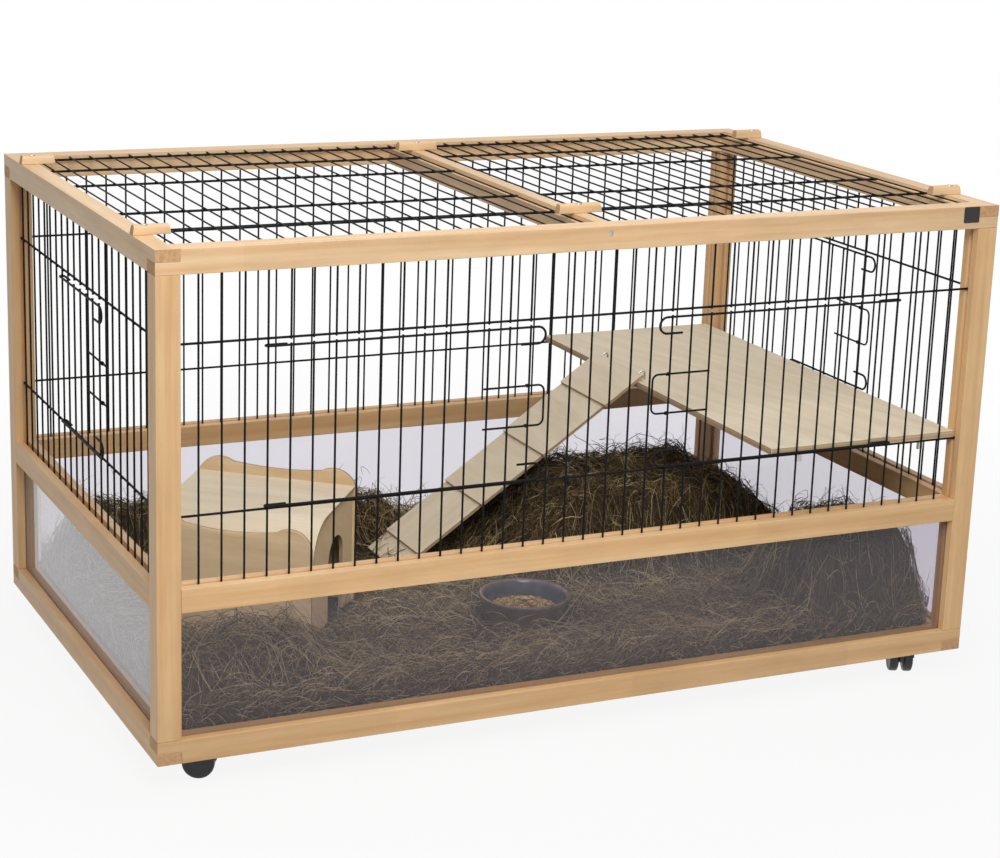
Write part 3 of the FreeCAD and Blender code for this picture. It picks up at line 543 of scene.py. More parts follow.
def woodPiece(node, materials, easeMm, plyMm=0.0, staves=0.0, leastMm=0.0):
    bm = cadMesh(node, leastMm)
    if plyMm:
        for face in bm.faces:
            face.material_index = 1 if isSawn(face, plyMm) else 0
    easeEdges(bm, easeMm)
    bm.verts.index_update()
    grain, depths, tones = {}, {}, {}
    parts = looseParts(bm)
    highest = max(max(v.co.z for v in part) for part in parts)
    for part in parts:
        places = np.array([v.co for v in part])
        faces = {f for v in part for f in v.link_faces}
        along, thin = fibreWays(places, faces, plyMm > 0)
        side = thin.cross(along).normalized()
        shift = grainRandom.uniform(0, woodSet["shift"], 3)
        tone = grainRandom.uniform(*woodSet["tones"])
        lowest = min(float(Vector(p).dot(thin)) for p in places)
        isTallest = len(materials) > 2 and max(v.co.z for v in part) == highest
        for face in faces:
            if not plyMm and abs(face.normal.dot(along)) > woodSet["endFacing"]:
                face.material_index = 1
            if isTallest and face.material_index == 0:
                face.material_index = 2
        for vert in part:
            grain[vert.index] = [vert.co.dot(way) + move for way, move in zip((along, side, thin), shift)]
            depths[vert.index] = vert.co.dot(thin) - lowest
            tones[vert.index] = tone
    mesh = bpy.data.meshes.new(camelName(node))
    bm.to_mesh(mesh)
    bm.free()
    count = len(mesh.vertices)
    layer = mesh.attributes.new("grain", "FLOAT_VECTOR", "POINT")
    layer.data.foreach_set("vector", np.array([grain[k] for k in range(count)], np.float32).ravel())
    setFloats(mesh, "tone", [tones[k] for k in range(count)])
    setFloats(mesh, "plyDepth", [depths[k] for k in range(count)])
    setFloats(mesh, "staves", [staves] * count)
    smoothTo(mesh, woodSet["smoothDeg"])
    return finishPiece(camelName(node), mesh, materials, bodyOf[node], [node])


# wooden frame: square stock with lightly eased edges; the rails are joined from staves; the posts and the low
# rails take a darker, warmer copy of the beech, which is painted shade
frameSet = {"easeMm": 0.9, "posts": "post_", "topRails": ("top_rail_", "centre_beam"),
            "lowRails": ("bottom_rail_", "mid_rail_"), "buttonEaseMm": 1.4}
for node in sorted(nodes):
    if node.startswith(frameSet["posts"]):
        woodPiece(node, [paintedShadeBeech, endGrain], frameSet["easeMm"])
    if node.startswith(frameSet["topRails"]):
        woodPiece(node, [beech, endGrain], frameSet["easeMm"], staves=1.0)
    if node.startswith(frameSet["lowRails"]):
        woodPiece(node, [paintedShadeBeech, endGrain], frameSet["easeMm"], staves=1.0)
    if node.startswith("turn_button_"):
        woodPiece(node, [beech, endGrain], frameSet["buttonEaseMm"])
print("wooden frame ready")

# plywood: platform, ramp, house and floor; the house's tall back panel has a warmer face
plySet = {"platform": 9.0, "house_roof": 4.0, "floor_panel": 8.0, "ramp": 5.0, "house_walls": 6.0,
          "easeMm": 0.5, "treadMm": 10.0}
for node in ("platform", "house_roof", "floor_panel"):
    woodPiece(node, [plywood, plyEdge], plySet["easeMm"], plySet[node])
woodPiece("ramp", [plywood, plyEdge], plySet["easeMm"], plySet["ramp"], leastMm=plySet["treadMm"])
woodPiece("house_walls", [wallPly, plyEdge, warmPly], plySet["easeMm"], plySet["house_walls"])
print("plywood ready")

# the ramp's two wire hooks, from the end of the top tread to a hole in the platform
hookSet = {"ys": (45.0, 160.0), "start": (266.01, 361.36), "bend": (275.91, 368.15), "endZ": 343.6,
           "corner": 4.0, "radius": 1.5}
soup = newSoup()
for y in hookSet["ys"]:
    (startX, startZ), (bendX, bendZ) = hookSet["start"], hookSet["bend"]
    corners = [(startX, y, startZ), (bendX, y, bendZ), (bendX, y, hookSet["endZ"])]
    addTube(soup, bentLine(corners, [hookSet["corner"]]), hookSet["radius"])
soupPiece("rampHooks", soup, zinc, "ramp", [])

# panes keep the CAD sheet; pressed and moulded small parts get eased edges
smallSet = {"plateEaseMm": 0.3, "hoodEaseMm": 0.5}
for node in sorted(nodes):
    if node.startswith("pane_"):
        nodes[node].data.materials.clear()
        nodes[node].data.materials.append(acrylic)
    if node in ("caster_plates", "platform_hooks"):
        easedPiece(node, zinc, smallSet["plateEaseMm"])
    if node.startswith("caster_hood"):
        easedPiece(node, nylon, smallSet["hoodEaseMm"])

# caster wheels: twin discs with a rounded tread and a shallow dished face
wheelSet = {"pivotMm": (514.0, 295.5),
            "yaws": {"front_left": 155, "front_right": 65, "back_left": 110, "back_right": 20},
            "trail": 8.0, "axleZ": 20.0, "axle": 2.5, "axleHalf": 4.0, "axleSides": 16, "sides": 48,
            "profile": [(5.0, 3.6), (17.4, 3.6), (19.0, 4.3), (19.8, 5.4), (20.0, 6.8), (20.0, 12.6),
                        (19.7, 14.1), (18.9, 15.3), (17.6, 15.9), (14.8, 16.0), (14.0, 15.5), (6.4, 15.2),
                        (5.6, 15.6), (4.4, 15.8)]}
for corner, yaw in wheelSet["yaws"].items():
    pivotX, pivotY = wheelSet["pivotMm"]
    signX = 1 if corner.endswith("right") else -1
    signY = 1 if corner.startswith("back") else -1
    stand = inMm @ Matrix.Translation((signX * pivotX, signY * pivotY, 0))
    stand = stand @ Matrix.Rotation(math.radians(yaw), 4, "Z")
    stand = stand @ Matrix.Translation((-wheelSet["trail"], 0, wheelSet["axleZ"]))
    soup = newSoup()
    for turn in (-90, 90):
        addTurned(soup, wheelSet["profile"], wheelSet["sides"], Matrix.Rotation(math.radians(turn), 4, "X"))
    half = wheelSet["axleHalf"]
    addTube(soup, [(0, -half, 0), (0, half, 0)], wheelSet["axle"], wheelSet["axleSides"])
    node = "caster_wheels_" + corner
    soupPiece(camelName(node), soup, nylon, "wheels_" + corner, [node], matrix=stand)
print("casters ready")

# screws: countersunk ones in the beam joint, round heads on the turn buttons, each turned as it stopped
screwSet = {"recess": (1.9, 0.5, 1.2), "beamZ": 652.0, "beamY": 350.0, "buttonXs": (-560.0, 0.0, 560.0),
            "buttonY": 258.0, "turnDeg": 20, "turnX": 9, "turnY": 5,
            "sunk": [(1.2, -55.0), (2.0, -52.0), (2.0, -2.2), (3.7, -0.3), (3.5, 0.0)],
            "round": [(1.2, -25.5), (2.0, -23.5), (2.0, -2.2), (3.7, -2.2), (3.8, -1.9), (3.8, -0.5),
                      (3.4, 0.0)]}
soup = newSoup()
for way in (-1, 1):
    place = Matrix.Translation((0, way * screwSet["beamY"], screwSet["beamZ"]))
    turn = Matrix.Rotation(math.radians(-90 * way), 4, "X")
    addScrew(soup, screwSet["sunk"], screwSet["recess"], place @ turn)
soupPiece("beamScrews", soup, zinc, "frame", ["beam_screws"])
soup = newSoup()
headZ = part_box("button_pivots")[1].z / mm
for x in screwSet["buttonXs"]:
    for y in (-screwSet["buttonY"], screwSet["buttonY"]):
        turn = math.radians(screwSet["turnDeg"] + x / screwSet["turnX"] + y / screwSet["turnY"])
        place = Matrix.Translation((x, y, headZ)) @ Matrix.Rotation(turn, 4, "Z")
        addScrew(soup, screwSet["round"], screwSet["recess"], place)
soupPiece("buttonPivots", soup, zinc, "frame", ["button_pivots"])

# the small bare plate at the top right corner of the front
plateSet = {"middle": (532.0, 651.0), "half": (12.0, 10.5), "corner": 1.6, "face": -350.0, "thick": 1.2,
            "ease": 0.4, "steps": 5}


def plateRing(shrink, y):
    (middleX, middleZ), (halfX, halfZ), corner = plateSet["middle"], plateSet["half"], plateSet["corner"]
    ring = []
    for quarter, (signX, signZ) in enumerate([(1, 1), (-1, 1), (-1, -1), (1, -1)]):
        for k in range(plateSet["steps"]):
            angle = math.radians(90 * quarter + 90 * k / (plateSet["steps"] - 1))
            x = middleX + signX * (halfX - corner) + (corner - shrink) * math.cos(angle)
            z = middleZ + signZ * (halfZ - corner) + (corner - shrink) * math.sin(angle)
            ring.append(Vector((x, y, z)))
    return ring


soup = newSoup()
front = plateSet["face"] - plateSet["thick"]
ease = plateSet["ease"]
addRings(soup, [plateRing(0, plateSet["face"]), plateRing(0, front + ease), plateRing(ease, front)])
soupPiece("cornerPlate", soup, nylon, "frame", [])
print("screws and plate ready")

# food bowl: turned stoneware with a rounded rim
bowlSet = {"centre": (-5.0, -160.0, 65.0), "sides": 72, "insideFrom": 12,
           "profile": [(47, 0), (50.2, 0.5), (51, 2), (52.8, 12.5), (55.4, 27), (58.4, 42.7), (60.7, 54.2),
                       (61.8, 58.3), (62, 60.4), (61.3, 61.9), (59.6, 62.5), (57, 62), (55, 60), (53.6, 55.2),
                       (50.8, 41.6), (47.6, 26), (44.6, 16.1), (41.4, 12.6), (35, 12)]}
bowlPlace = inMm @ Matrix.Translation(bowlSet["centre"])
soup = newSoup()
addTurned(soup, bowlSet["profile"], bowlSet["sides"])
bowl = soupPiece("foodBowl", soup, brownGlaze, "food_bowl", ["food_bowl"], matrix=bowlPlace,
                 extra=(greyGlaze,))
for face in bowl.data.polygons:
    if bowlSet["insideFrom"] <= face.index // bowlSet["sides"] < len(bowlSet["profile"]) - 1:
        face.material_index = 1
bowl.data.polygons[len(bowl.data.polygons) - 1].material_index = 1

# food: grains heaped over a filled middle, up to near the rim
foodSet = {"seed": 23, "count": 900, "reach": 46.0, "heapAt": (-4.0, -6.0), "floor": 41.0, "rise": 15.0,
           "slope": 0.3, "fill": [(36, 12.4), (44, 16), (49, 39), (34, 43), (16, 48), (4, 50)], "fillTone": 0.3,
           "sizeMm": (1.6, 3.6), "wide": 0.6, "high": 0.5, "jitter": 1.5, "tip": 1.2, "wallFoot": 40,
           "wallFootZ": 12.6, "wallLean": 0.22, "wallClear": 3}
foodRandom = np.random.default_rng(foodSet["seed"])
soup = newSoup()
addTurned(soup, foodSet["fill"], bowlSet["sides"])
tones = [foodSet["fillTone"]] * len(soup["points"])
for k in range(foodSet["count"]):
    angle = foodRandom.uniform(0, 2 * math.pi)
    reach = foodSet["reach"] * math.sqrt(foodRandom.uniform(0, 1))
    x, y = reach * math.cos(angle), reach * math.sin(angle)
    away = math.hypot(x - foodSet["heapAt"][0], y - foodSet["heapAt"][1])
    z = max(foodSet["floor"], foodSet["floor"] + foodSet["rise"] - foodSet["slope"] * away)
    wall = foodSet["wallFoot"] + (z - foodSet["wallFootZ"]) * foodSet["wallLean"] - foodSet["wallClear"]
    if reach > wall:
        x, y = x * wall / reach, y * wall / reach
    long = foodRandom.uniform(*foodSet["sizeMm"])
    spin = Matrix.Rotation(foodRandom.uniform(0, math.pi), 3, "Z")
    spin = spin @ Matrix.Rotation(foodRandom.uniform(0, foodSet["tip"]), 3, "X")
    centre = (x, y, z + foodRandom.uniform(-foodSet["jitter"], foodSet["jitter"]))
    before = len(soup["points"])
    addBead(soup, centre, (long, long * foodSet["wide"], long * foodSet["high"]), turn=spin)
    tones += [foodRandom.uniform(0, 1)] * (len(soup["points"]) - before)
food = soupPiece("foodGrains", soup, grains, "food_bowl", [], matrix=bowlPlace, sharpDeg=80)
setFloats(food.data, "tone", tones)
print("bowl ready")

# hay: a matted bed with five heaps, and loose stalks over it
bedSet = {"half": (543.0, 318.0), "topZ": 89.0, "floorZ": 65.3, "cellMm": 9.0, "matInset": 6.0, "under": 4.0,
          "waveSeed": 17, "waves": 26, "waveMm": (26, 150), "waveSize": 1.5, "waveFlat": 0.35, "waveHeap": 125,
          "house": (-279.0, 64.0, 40.0), "houseBox": (113.0, -176.0, 6.0), "houseClear": 6, "houseDip": 6,
          "bowl": (-5.0, -160.0, 66.0), "bowlClear": 2, "toneSeed": 19, "tones": (0.05, 0.15), "heaps": [
              {"x": (10, 544), "y": (-90, 319), "rise": 114, "slopes": (140, 184, 50, 189)},
              {"x": (-544, -344), "y": (200, 319), "rise": 76, "slopes": (44, 60, 35, 40)},
              {"x": (-339, 5), "y": (200, 319), "rise": 48, "slopes": (50, 60, 35, 40)},
              {"x": (-544, -300), "y": (-319, -149), "rise": 49, "slopes": (30, 70, 45, 50)},
              {"x": (334, 544), "y": (-319, -114), "rise": 106, "slopes": (60, 34, 30, 70)}]}
waveRandom = np.random.default_rng(bedSet["waveSeed"])
waveAngles = waveRandom.uniform(0, 2 * math.pi, bedSet["waves"])
waveLengths = waveRandom.uniform(*bedSet["waveMm"], bedSet["waves"])
wavePhases = waveRandom.uniform(0, 2 * math.pi, bedSet["waves"])


def inHouse(x, y, margin):
    centreX, centreY, yaw = bedSet["house"]
    half, front, back = bedSet["houseBox"]
    cosine, sine = math.cos(math.radians(yaw)), math.sin(math.radians(yaw))
    along = (x - centreX) * cosine - (y - centreY) * sine
    across = (x - centreX) * sine + (y - centreY) * cosine
    return (np.abs(along) < half + margin) & (across > front - margin) & (across < back + margin)


def inBowl(x, y, margin):
    centreX, centreY, radius = bedSet["bowl"]
    return np.hypot(x - centreX, y - centreY) < radius + margin


# the height of the hay over the bed, with rounded heaps and shallow waves
def hayLevel(x, y):
    level = np.zeros(np.shape(x))
    for heap in bedSet["heaps"]:
        (x0, x1), (y0, y1), (left, right, near, far) = heap["x"], heap["y"], heap["slopes"]
        shareX = np.minimum((x - x0) / left, (x1 - x) / right)
        shareY = np.minimum((y - y0) / near, (y1 - y) / far)
        share = np.clip(np.minimum(shareX, shareY), 0, 1)
        level = np.maximum(level, heap["rise"] * share * share * (3 - 2 * share))
    wave = np.zeros(np.shape(x))
    for angle, length, phase in zip(waveAngles, waveLengths, wavePhases):
        wave += np.sin((x * math.cos(angle) + y * math.sin(angle)) * 2 * math.pi / length + phase)
    share = bedSet["waveFlat"] + level / bedSet["waveHeap"]
    return bedSet["topZ"] + level + wave * bedSet["waveSize"] * share


# the mat under the stalks, closed by a skirt and a flat underside; its dark tones are painted shade of the
# depths between the stalks
def makeMat():
    halfX, halfY = (half - bedSet["matInset"] for half in bedSet["half"])
    columns = int(2 * halfX / bedSet["cellMm"]) + 1
    rows = int(2 * halfY / bedSet["cellMm"]) + 1
    x, y = np.meshgrid(np.linspace(-halfX, halfX, columns), np.linspace(-halfY, halfY, rows))
    z = hayLevel(x, y) - bedSet["under"]
    z = np.where(inHouse(x, y, bedSet["houseClear"]), bedSet["topZ"] - bedSet["houseDip"], z)
    z = np.where(inBowl(x, y, bedSet["bowlClear"]), bedSet["floorZ"], z)
    points = np.stack([x, y, z], 2).reshape(-1, 3) * mm
    index = np.arange(rows * columns).reshape(rows, columns)
    corners = [index[:-1, :-1], index[:-1, 1:], index[1:, 1:], index[1:, :-1]]
    faces = np.stack(corners, 2).reshape(-1, 4).tolist()
    rim = list(index[0, :]) + list(index[1:, -1]) + list(index[-1, -2::-1]) + list(index[-2:0:-1, 0])
    low = [len(points) + k for k in range(len(rim))]
    skirt = points[rim].copy()
    skirt[:, 2] = bedSet["floorZ"] * mm
    for k in range(len(rim)):
        following = (k + 1) % len(rim)
        faces.append([int(rim[following]), int(rim[k]), low[k], low[following]])
    faces.append(list(reversed(low)))
    mesh = bpy.data.meshes.new("hayMat")
    mesh.from_pydata(np.concatenate([points, skirt]).tolist(), [], faces)
    toneRandom = np.random.default_rng(bedSet["toneSeed"])
    # tones near the darkest stop of the hay: painted shade between the stalks
    setFloats(mesh, "tone", toneRandom.uniform(*bedSet["tones"], len(mesh.vertices)))
    mesh.shade_smooth()
    finishPiece("hayMat", mesh, [hay], "frame", ["hay_bedding"])


makeMat()

# stalks: thin bent three-sided blades; stalks on the heaps take darker tones, partly the hay's own olive colour
# and partly painted shade; the low heap before the house is as pale as the bed
stalkSet = {"taper": (0.5, 1, 1, 0.9, 0.35), "tries": 6, "heapFrom": 12, "feel": 4, "edge": 1.5, "sink": 1.0,
            "stand": 0.3, "liftTone": 0.01, "clear": 3.0, "bowlClear": -5.0, "paleHeap": (-300.0, -149.0),
            "ramp": (258.0, 358.9, 0.6859, 14.0), "rampBox": (-133.0, 266.0, 25.0, 190.0)}
stalkKinds = {
    "hayBedStalks": {"seed": 31, "count": 7400, "onHeap": False, "lengthMm": (30, 120), "widthMm": (0.5, 1.4),
                     "curl": 2.0, "liftMm": 3.0, "tilt": 0.15, "strayShare": 0.10, "strayTilt": 0.4,
                     "tones": (1.8, 1.7), "arch": 0.10, "archMost": 14.0},
    "hayBedStraw": {"seed": 41, "count": 7000, "onHeap": False, "lengthMm": (20, 85), "widthMm": (0.4, 1.0),
                    "curl": 2.8, "liftMm": 4.0, "tilt": 0.20, "strayShare": 0.15, "strayTilt": 0.5,
                    "tones": (2.6, 1.3), "arch": 0.15, "archMost": 14.0},
    # heap stalks lean to the dark end of the ramp: partly painted shade on the heaps
    "hayHeapStalks": {"seed": 37, "count": 7400, "onHeap": True, "lengthMm": (22, 95), "widthMm": (0.6, 1.6),
                      "curl": 1.8, "liftMm": 4.0, "tilt": 0.12, "strayShare": 0.05, "strayTilt": 0.4,
                      "tones": (1.2, 2.8), "arch": 0.06, "archMost": 8.0},
    "hayHeapCurls": {"seed": 43, "count": 6000, "onHeap": True, "lengthMm": (18, 60), "widthMm": (0.4, 1.0),
                     "curl": 3.6, "liftMm": 5.0, "tilt": 0.20, "strayShare": 0.18, "strayTilt": 0.5,
                     "tones": (1.3, 2.0), "arch": 0.15, "archMost": 10.0}}
paneStalks = {"seed": 47, "perMetre": 2000, "insetMm": (0.8, 5.5), "lengthMm": (15, 60), "widthMm": (0.5, 1.2),
              "lean": 0.9, "curl": 2.2, "tones": (1.8, 1.8), "footMm": 2}
stalkPoints = len(stalkSet["taper"])
stalkSteps = np.linspace(-0.5, 0.5, stalkPoints)


# blades of three sides along the given lines
def stalkPiece(name, line, width, tone):
    way = np.gradient(line, axis=1)
    way /= np.linalg.norm(way, axis=2, keepdims=True) + 1e-9
    side = np.cross(way, [0, 0, 1.0])
    side /= np.linalg.norm(side, axis=2, keepdims=True) + 1e-9
    up = np.cross(side, way)
    radius = width[:, None] / 2 * np.array(stalkSet["taper"])
    corners = []
    for turn in (90, 210, 330):
        offset = side * math.cos(math.radians(turn)) + up * math.sin(math.radians(turn))
        corners.append(line + offset * radius[:, :, None])
    points = np.stack(corners, 2).reshape(-1, 3) * mm
    quads = []
    for first in range(0, 3 * stalkPoints - 3, 3):
        for k in range(3):
            following = (k + 1) % 3
            quads.append((first + k, first + following, first + 3 + following, first + 3 + k))
    last = 3 * stalkPoints
    base = np.arange(len(line))[:, None, None] * last
    faces = (np.array(quads)[None] + base).reshape(-1, 4).tolist()
    ends = [(2, 1, 0), (last - 3, last - 2, last - 1)]
    faces += (np.array(ends)[None] + base).reshape(-1, 3).tolist()
    mesh = bpy.data.meshes.new(name)
    mesh.from_pydata(points.tolist(), [], faces)
    setFloats(mesh, "tone", np.repeat(tone, last))
    mesh.shade_smooth()
    finishPiece(name, mesh, [hay], "frame", [])
    print(name, len(line))


# stalks laid on the mat in all ways along its slope, some standing off it
def makeStalks(name, kind):
    random = np.random.default_rng(kind["seed"])
    halfX, halfY = bedSet["half"]
    x = random.uniform(-halfX, halfX, kind["count"] * stalkSet["tries"])
    y = random.uniform(-halfY, halfY, kind["count"] * stalkSet["tries"])
    isPale = (x < stalkSet["paleHeap"][0]) & (y < stalkSet["paleHeap"][1])
    wanted = ((hayLevel(x, y) > bedSet["topZ"] + stalkSet["heapFrom"]) & ~isPale) == kind["onHeap"]
    x, y = x[wanted], y[wanted]
    count = len(x)
    length = random.uniform(*kind["lengthMm"], count)
    angle = random.uniform(0, 2 * math.pi, count)[:, None]
    angle = angle + random.normal(0, kind["curl"], count)[:, None] * stalkSteps
    feel = stalkSet["feel"]
    slopeX = hayLevel(x + feel, y) / (2 * feel) - hayLevel(x - feel, y) / (2 * feel)
    slopeY = hayLevel(x, y + feel) / (2 * feel) - hayLevel(x, y - feel) / (2 * feel)
    steep = np.hypot(slopeX, slopeY) + 1e-9
    wayX, wayY = (slopeX / steep)[:, None], (slopeY / steep)[:, None]
    stepX = np.cumsum(np.cos(angle), 1) * length[:, None] / stalkPoints
    stepY = np.cumsum(np.sin(angle), 1) * length[:, None] / stalkPoints
    climb = (stepX * wayX + stepY * wayY) * (1 - 1 / np.hypot(1, steep))[:, None]
    edge = stalkSet["edge"]
    px = np.clip(x[:, None] + stepX - climb * wayX, -halfX + edge, halfX - edge)
    py = np.clip(y[:, None] + stepY - climb * wayY, -halfY + edge, halfY - edge)
    stray = random.uniform(0, 1, count) < kind["strayShare"]
    tilt = random.normal(0, 1, count) * np.where(stray, kind["strayTilt"], kind["tilt"])
    lift = random.exponential(kind["liftMm"], count) - stalkSet["sink"]
    arch = random.exponential(kind["arch"], count) * length
    pz = hayLevel(px, py) + lift[:, None] + np.abs(tilt * length)[:, None] * (stalkSteps + stalkSet["stand"])
    pz += np.minimum(arch, kind["archMost"])[:, None] * (1 - 4 * stalkSteps * stalkSteps)
    pz = np.maximum(pz, bedSet["floorZ"] + stalkSet["sink"])
    edgeX, edgeZ, slope, under = stalkSet["ramp"]
    left, right, near, far = stalkSet["rampBox"]
    nearRamp = (px > left) & (px < right) & (py > near) & (py < far)
    nearRamp &= pz > edgeZ - slope * (edgeX - px) - under
    blocked = inHouse(px, py, stalkSet["clear"]) | inBowl(px, py, stalkSet["bowlClear"]) | nearRamp
    keep = np.flatnonzero(~blocked.any(1))[:kind["count"]]
    tone = np.clip(random.beta(*kind["tones"], len(keep)) + stalkSet["liftTone"] * lift[keep], 0, 1)
    stalkPiece(name, np.stack([px, py, pz], 2)[keep], random.uniform(*kind["widthMm"], len(keep)), tone)


# stalks pressed flat against the four panes, from the floor up to the hay's edge
def makePaneStalks(name, kind):
    random = np.random.default_rng(kind["seed"])
    halfX, halfY = bedSet["half"]
    floorZ, edge = bedSet["floorZ"], stalkSet["edge"]
    sides = ((halfX, -halfY, True), (halfX, halfY, True), (halfY, -halfX, False), (halfY, halfX, False))
    lines = []
    for reach, depth, alongX in sides:
        count = int(kind["perMetre"] * 2 * reach * mm)
        inset = depth - math.copysign(1, depth) * random.uniform(*kind["insetMm"], count)
        middle = random.uniform(-reach, reach, count)
        top = hayLevel(middle, inset) if alongX else hayLevel(inset, middle)
        height = floorZ + kind["footMm"] + (top - floorZ) * random.uniform(0, 1, count)
        lean = random.normal(0, kind["lean"], count)[:, None]
        lean = lean + random.normal(0, kind["curl"], count)[:, None] * stalkSteps
        length = random.uniform(*kind["lengthMm"], count)[:, None] / stalkPoints
        along = np.clip(middle[:, None] + np.cumsum(np.cos(lean), 1) * length, -reach + edge, reach - edge)
        rise = np.maximum(height[:, None] + np.cumsum(np.sin(lean), 1) * length, floorZ + stalkSet["sink"])
        into = np.repeat(inset[:, None], stalkPoints, 1)
        lines.append(np.stack([along, into, rise] if alongX else [into, along, rise], 2))
    line = np.concatenate(lines)
    width = random.uniform(*kind["widthMm"], len(line))
    stalkPiece(name, line, width, random.beta(*kind["tones"], len(line)))


for name, kind in stalkKinds.items():
    makeStalks(name, kind)
makePaneStalks("hayPaneStalks", paneStalks)
print("hay ready")

# grids: upright wires tied to two lying stays on each side
sideTurns = {"front": 0, "right": 90, "back": 180, "left": -90}
outer = {"front": 350.0, "back": 350.0, "left": 575.0, "right": 575.0}
wireSet = {"wire": 2.6, "stay": 3.0, "stock": 30.0, "sink": 8.0, "stayZ": (342.0, 548.0), "lowZ": 251.0,
           "highZ": 640.0, "counts": {"front": 38, "back": 38, "left": 22, "right": 22},
           "pitches": {"front": 1040 / 37, "back": 1040 / 37, "left": 610 / 21, "right": 610 / 21},
           "stubEnd": 1.5, "weld": (1.9, 1.6, 1.9)}
doorSet = {"front": (3, 12), "end": (7, 6), "railRise": 4.0, "railDrop": 8.0, "eye": 3.101, "tail": 24.0,
           "hook": 10.5, "hookReach": 9.3, "hookReturn": 22.0, "latchZ": (465.0, 414.0), "latchCorner": 8.0,
           "latchReach": 5.8, "latchBack": 2, "latchEnd": 3.0, "latchGap": 0.7, "eyeletMm": (2.0, 5.0),
           "eyeletWire": 0.55, "eyeletTurns": 3, "eyeletSteps": 16, "eyeletSides": 6}


def wireX(side, index):
    return (index - (wireSet["counts"][side] - 1) / 2) * wireSet["pitches"][side]


def uprightY(side):
    return -outer[side] + wireSet["stock"] / 2 - wireSet["stay"] / 2


def stayY(side):
    return -outer[side] + wireSet["stock"] / 2 + wireSet["wire"] / 2


# a wire piece drawn as on the front side, turned to its own side, and mirrored where it is a right-hand one
def wirePiece(node, soup, body, side, flipped=False):
    if flipped:
        soup["faces"] = [tuple(reversed(face)) for face in soup["faces"]]
    turn = Matrix.Rotation(math.radians(sideTurns[side]), 4, "Z")
    mirror = Matrix.Scale(-1 if flipped else 1, 4, (1, 0, 0))
    soupPiece(camelName(node), soup, wireCoat, body, [node], matrix=turn @ mirror @ inMm)


def doorPlan(side, flipped):
    hinge, count = doorSet["front" if side == "front" else "end"]
    own = list(range(hinge + 1, hinge + 1 + count))
    last = wireSet["counts"][side] - 1
    return {"side": side, "flipped": flipped, "hingeX": wireX(side, hinge), "xs": [wireX(side, k) for k in own],
            "catchX": wireX(side, hinge + 1 + count), "own": [last - k for k in own] if flipped else own}


doorPlans = {"front_left": doorPlan("front", False), "front_right": doorPlan("front", True),
             "left": doorPlan("left", False), "right": doorPlan("right", True)}

for side in sideTurns:
    soup = newSoup()
    missing = [k for plan in doorPlans.values() if plan["side"] == side for k in plan["own"]]
    y = uprightY(side)
    lowZ, highZ = wireSet["lowZ"], wireSet["highZ"]
    lowStay, highStay = wireSet["stayZ"]
    stub = wireSet["stubEnd"]
    for index in range(wireSet["counts"][side]):
        x = wireX(side, index)
        spans = [(lowZ, lowStay + stub), (highStay - stub, highZ)] if index in missing else [(lowZ, highZ)]
        for low, high in spans:
            addTube(soup, [(x, y, low), (x, y, high)], wireSet["wire"] / 2)
        for z in wireSet["stayZ"]:
            addBead(soup, (x, (y + stayY(side)) / 2, z), wireSet["weld"])
    reach = outer["left" if side in ("front", "back") else "front"] - wireSet["stock"] + wireSet["sink"]
    for z in wireSet["stayZ"]:
        addTube(soup, [(-reach, stayY(side), z), (reach, stayY(side), z)], wireSet["stay"] / 2)
    wirePiece("grid_" + side, soup, "frame", side)
print("grids ready")


# a small coil round the latch wire
def addEyelet(soup, middleX, y, z):
    radius, length = doorSet["eyeletMm"]
    steps = doorSet["eyeletSteps"] * doorSet["eyeletTurns"]
    coil = []
    for k in range(steps + 1):
        angle = 2 * math.pi * k / doorSet["eyeletSteps"]
        x = middleX + length * (k / steps - 0.5)
        coil.append((x, y + math.cos(angle) * radius, z + math.sin(angle) * radius))
    addTube(soup, coil, doorSet["eyeletWire"], doorSet["eyeletSides"])


# doors: rails with a hairpin eye round the hinge wire and a U hook, upright wires, latch eyelets
for name, plan in doorPlans.items():
    side = plan["side"]
    y = uprightY(side)
    eye, hook, stub = doorSet["eye"], doorSet["hook"], wireSet["stubEnd"]
    doorY = y - eye + wireSet["stay"] / 2 + wireSet["wire"] / 2
    low = wireSet["stayZ"][0] + doorSet["railRise"]
    high = wireSet["stayZ"][1] - doorSet["railDrop"]
    outermost = plan["catchX"] - doorSet["hookReach"]
    soup = newSoup()
    for z, turn in ((high, -1), (low, 1)):
        backZ = z + turn * 2 * hook
        rail = [
            (plan["hingeX"] + doorSet["tail"], y + eye, z),
            (plan["hingeX"] - eye, y + eye, z),
            (plan["hingeX"] - eye, y - eye, z),
            (outermost, y - eye, z),
            (outermost, y - eye, backZ),
            (outermost - hook - doorSet["hookReturn"], y - eye, backZ),
        ]
        addTube(soup, bentLine(rail, [eye, eye, hook, hook]), wireSet["stay"] / 2)
        for x in plan["xs"]:
            addBead(soup, (x, (doorY + y - eye) / 2, z), wireSet["weld"])
    for x in plan["xs"]:
        addTube(soup, [(x, doorY, low - stub), (x, doorY, high + stub)], wireSet["wire"] / 2)
    latchY = doorY + wireSet["wire"] + doorSet["latchGap"]
    for z in doorSet["latchZ"]:
        addEyelet(soup, plan["xs"][-1], latchY, z)
    wirePiece("door_" + name, soup, "door_" + name, side, plan["flipped"])
    inner = plan["xs"][-1 - doorSet["latchBack"]] - doorSet["latchEnd"]
    outerX = plan["catchX"] - doorSet["latchReach"]
    topZ, lowZ = doorSet["latchZ"]
    bow = [(inner, latchY, topZ), (outerX, latchY, topZ), (outerX, latchY, lowZ), (inner, latchY, lowZ)]
    soup = newSoup()
    addTube(soup, bentLine(bow, [doorSet["latchCorner"]] * 2), wireSet["wire"] / 2)
    wirePiece("latch_" + name, soup, "latch_" + name, side, plan["flipped"])
print("doors ready")

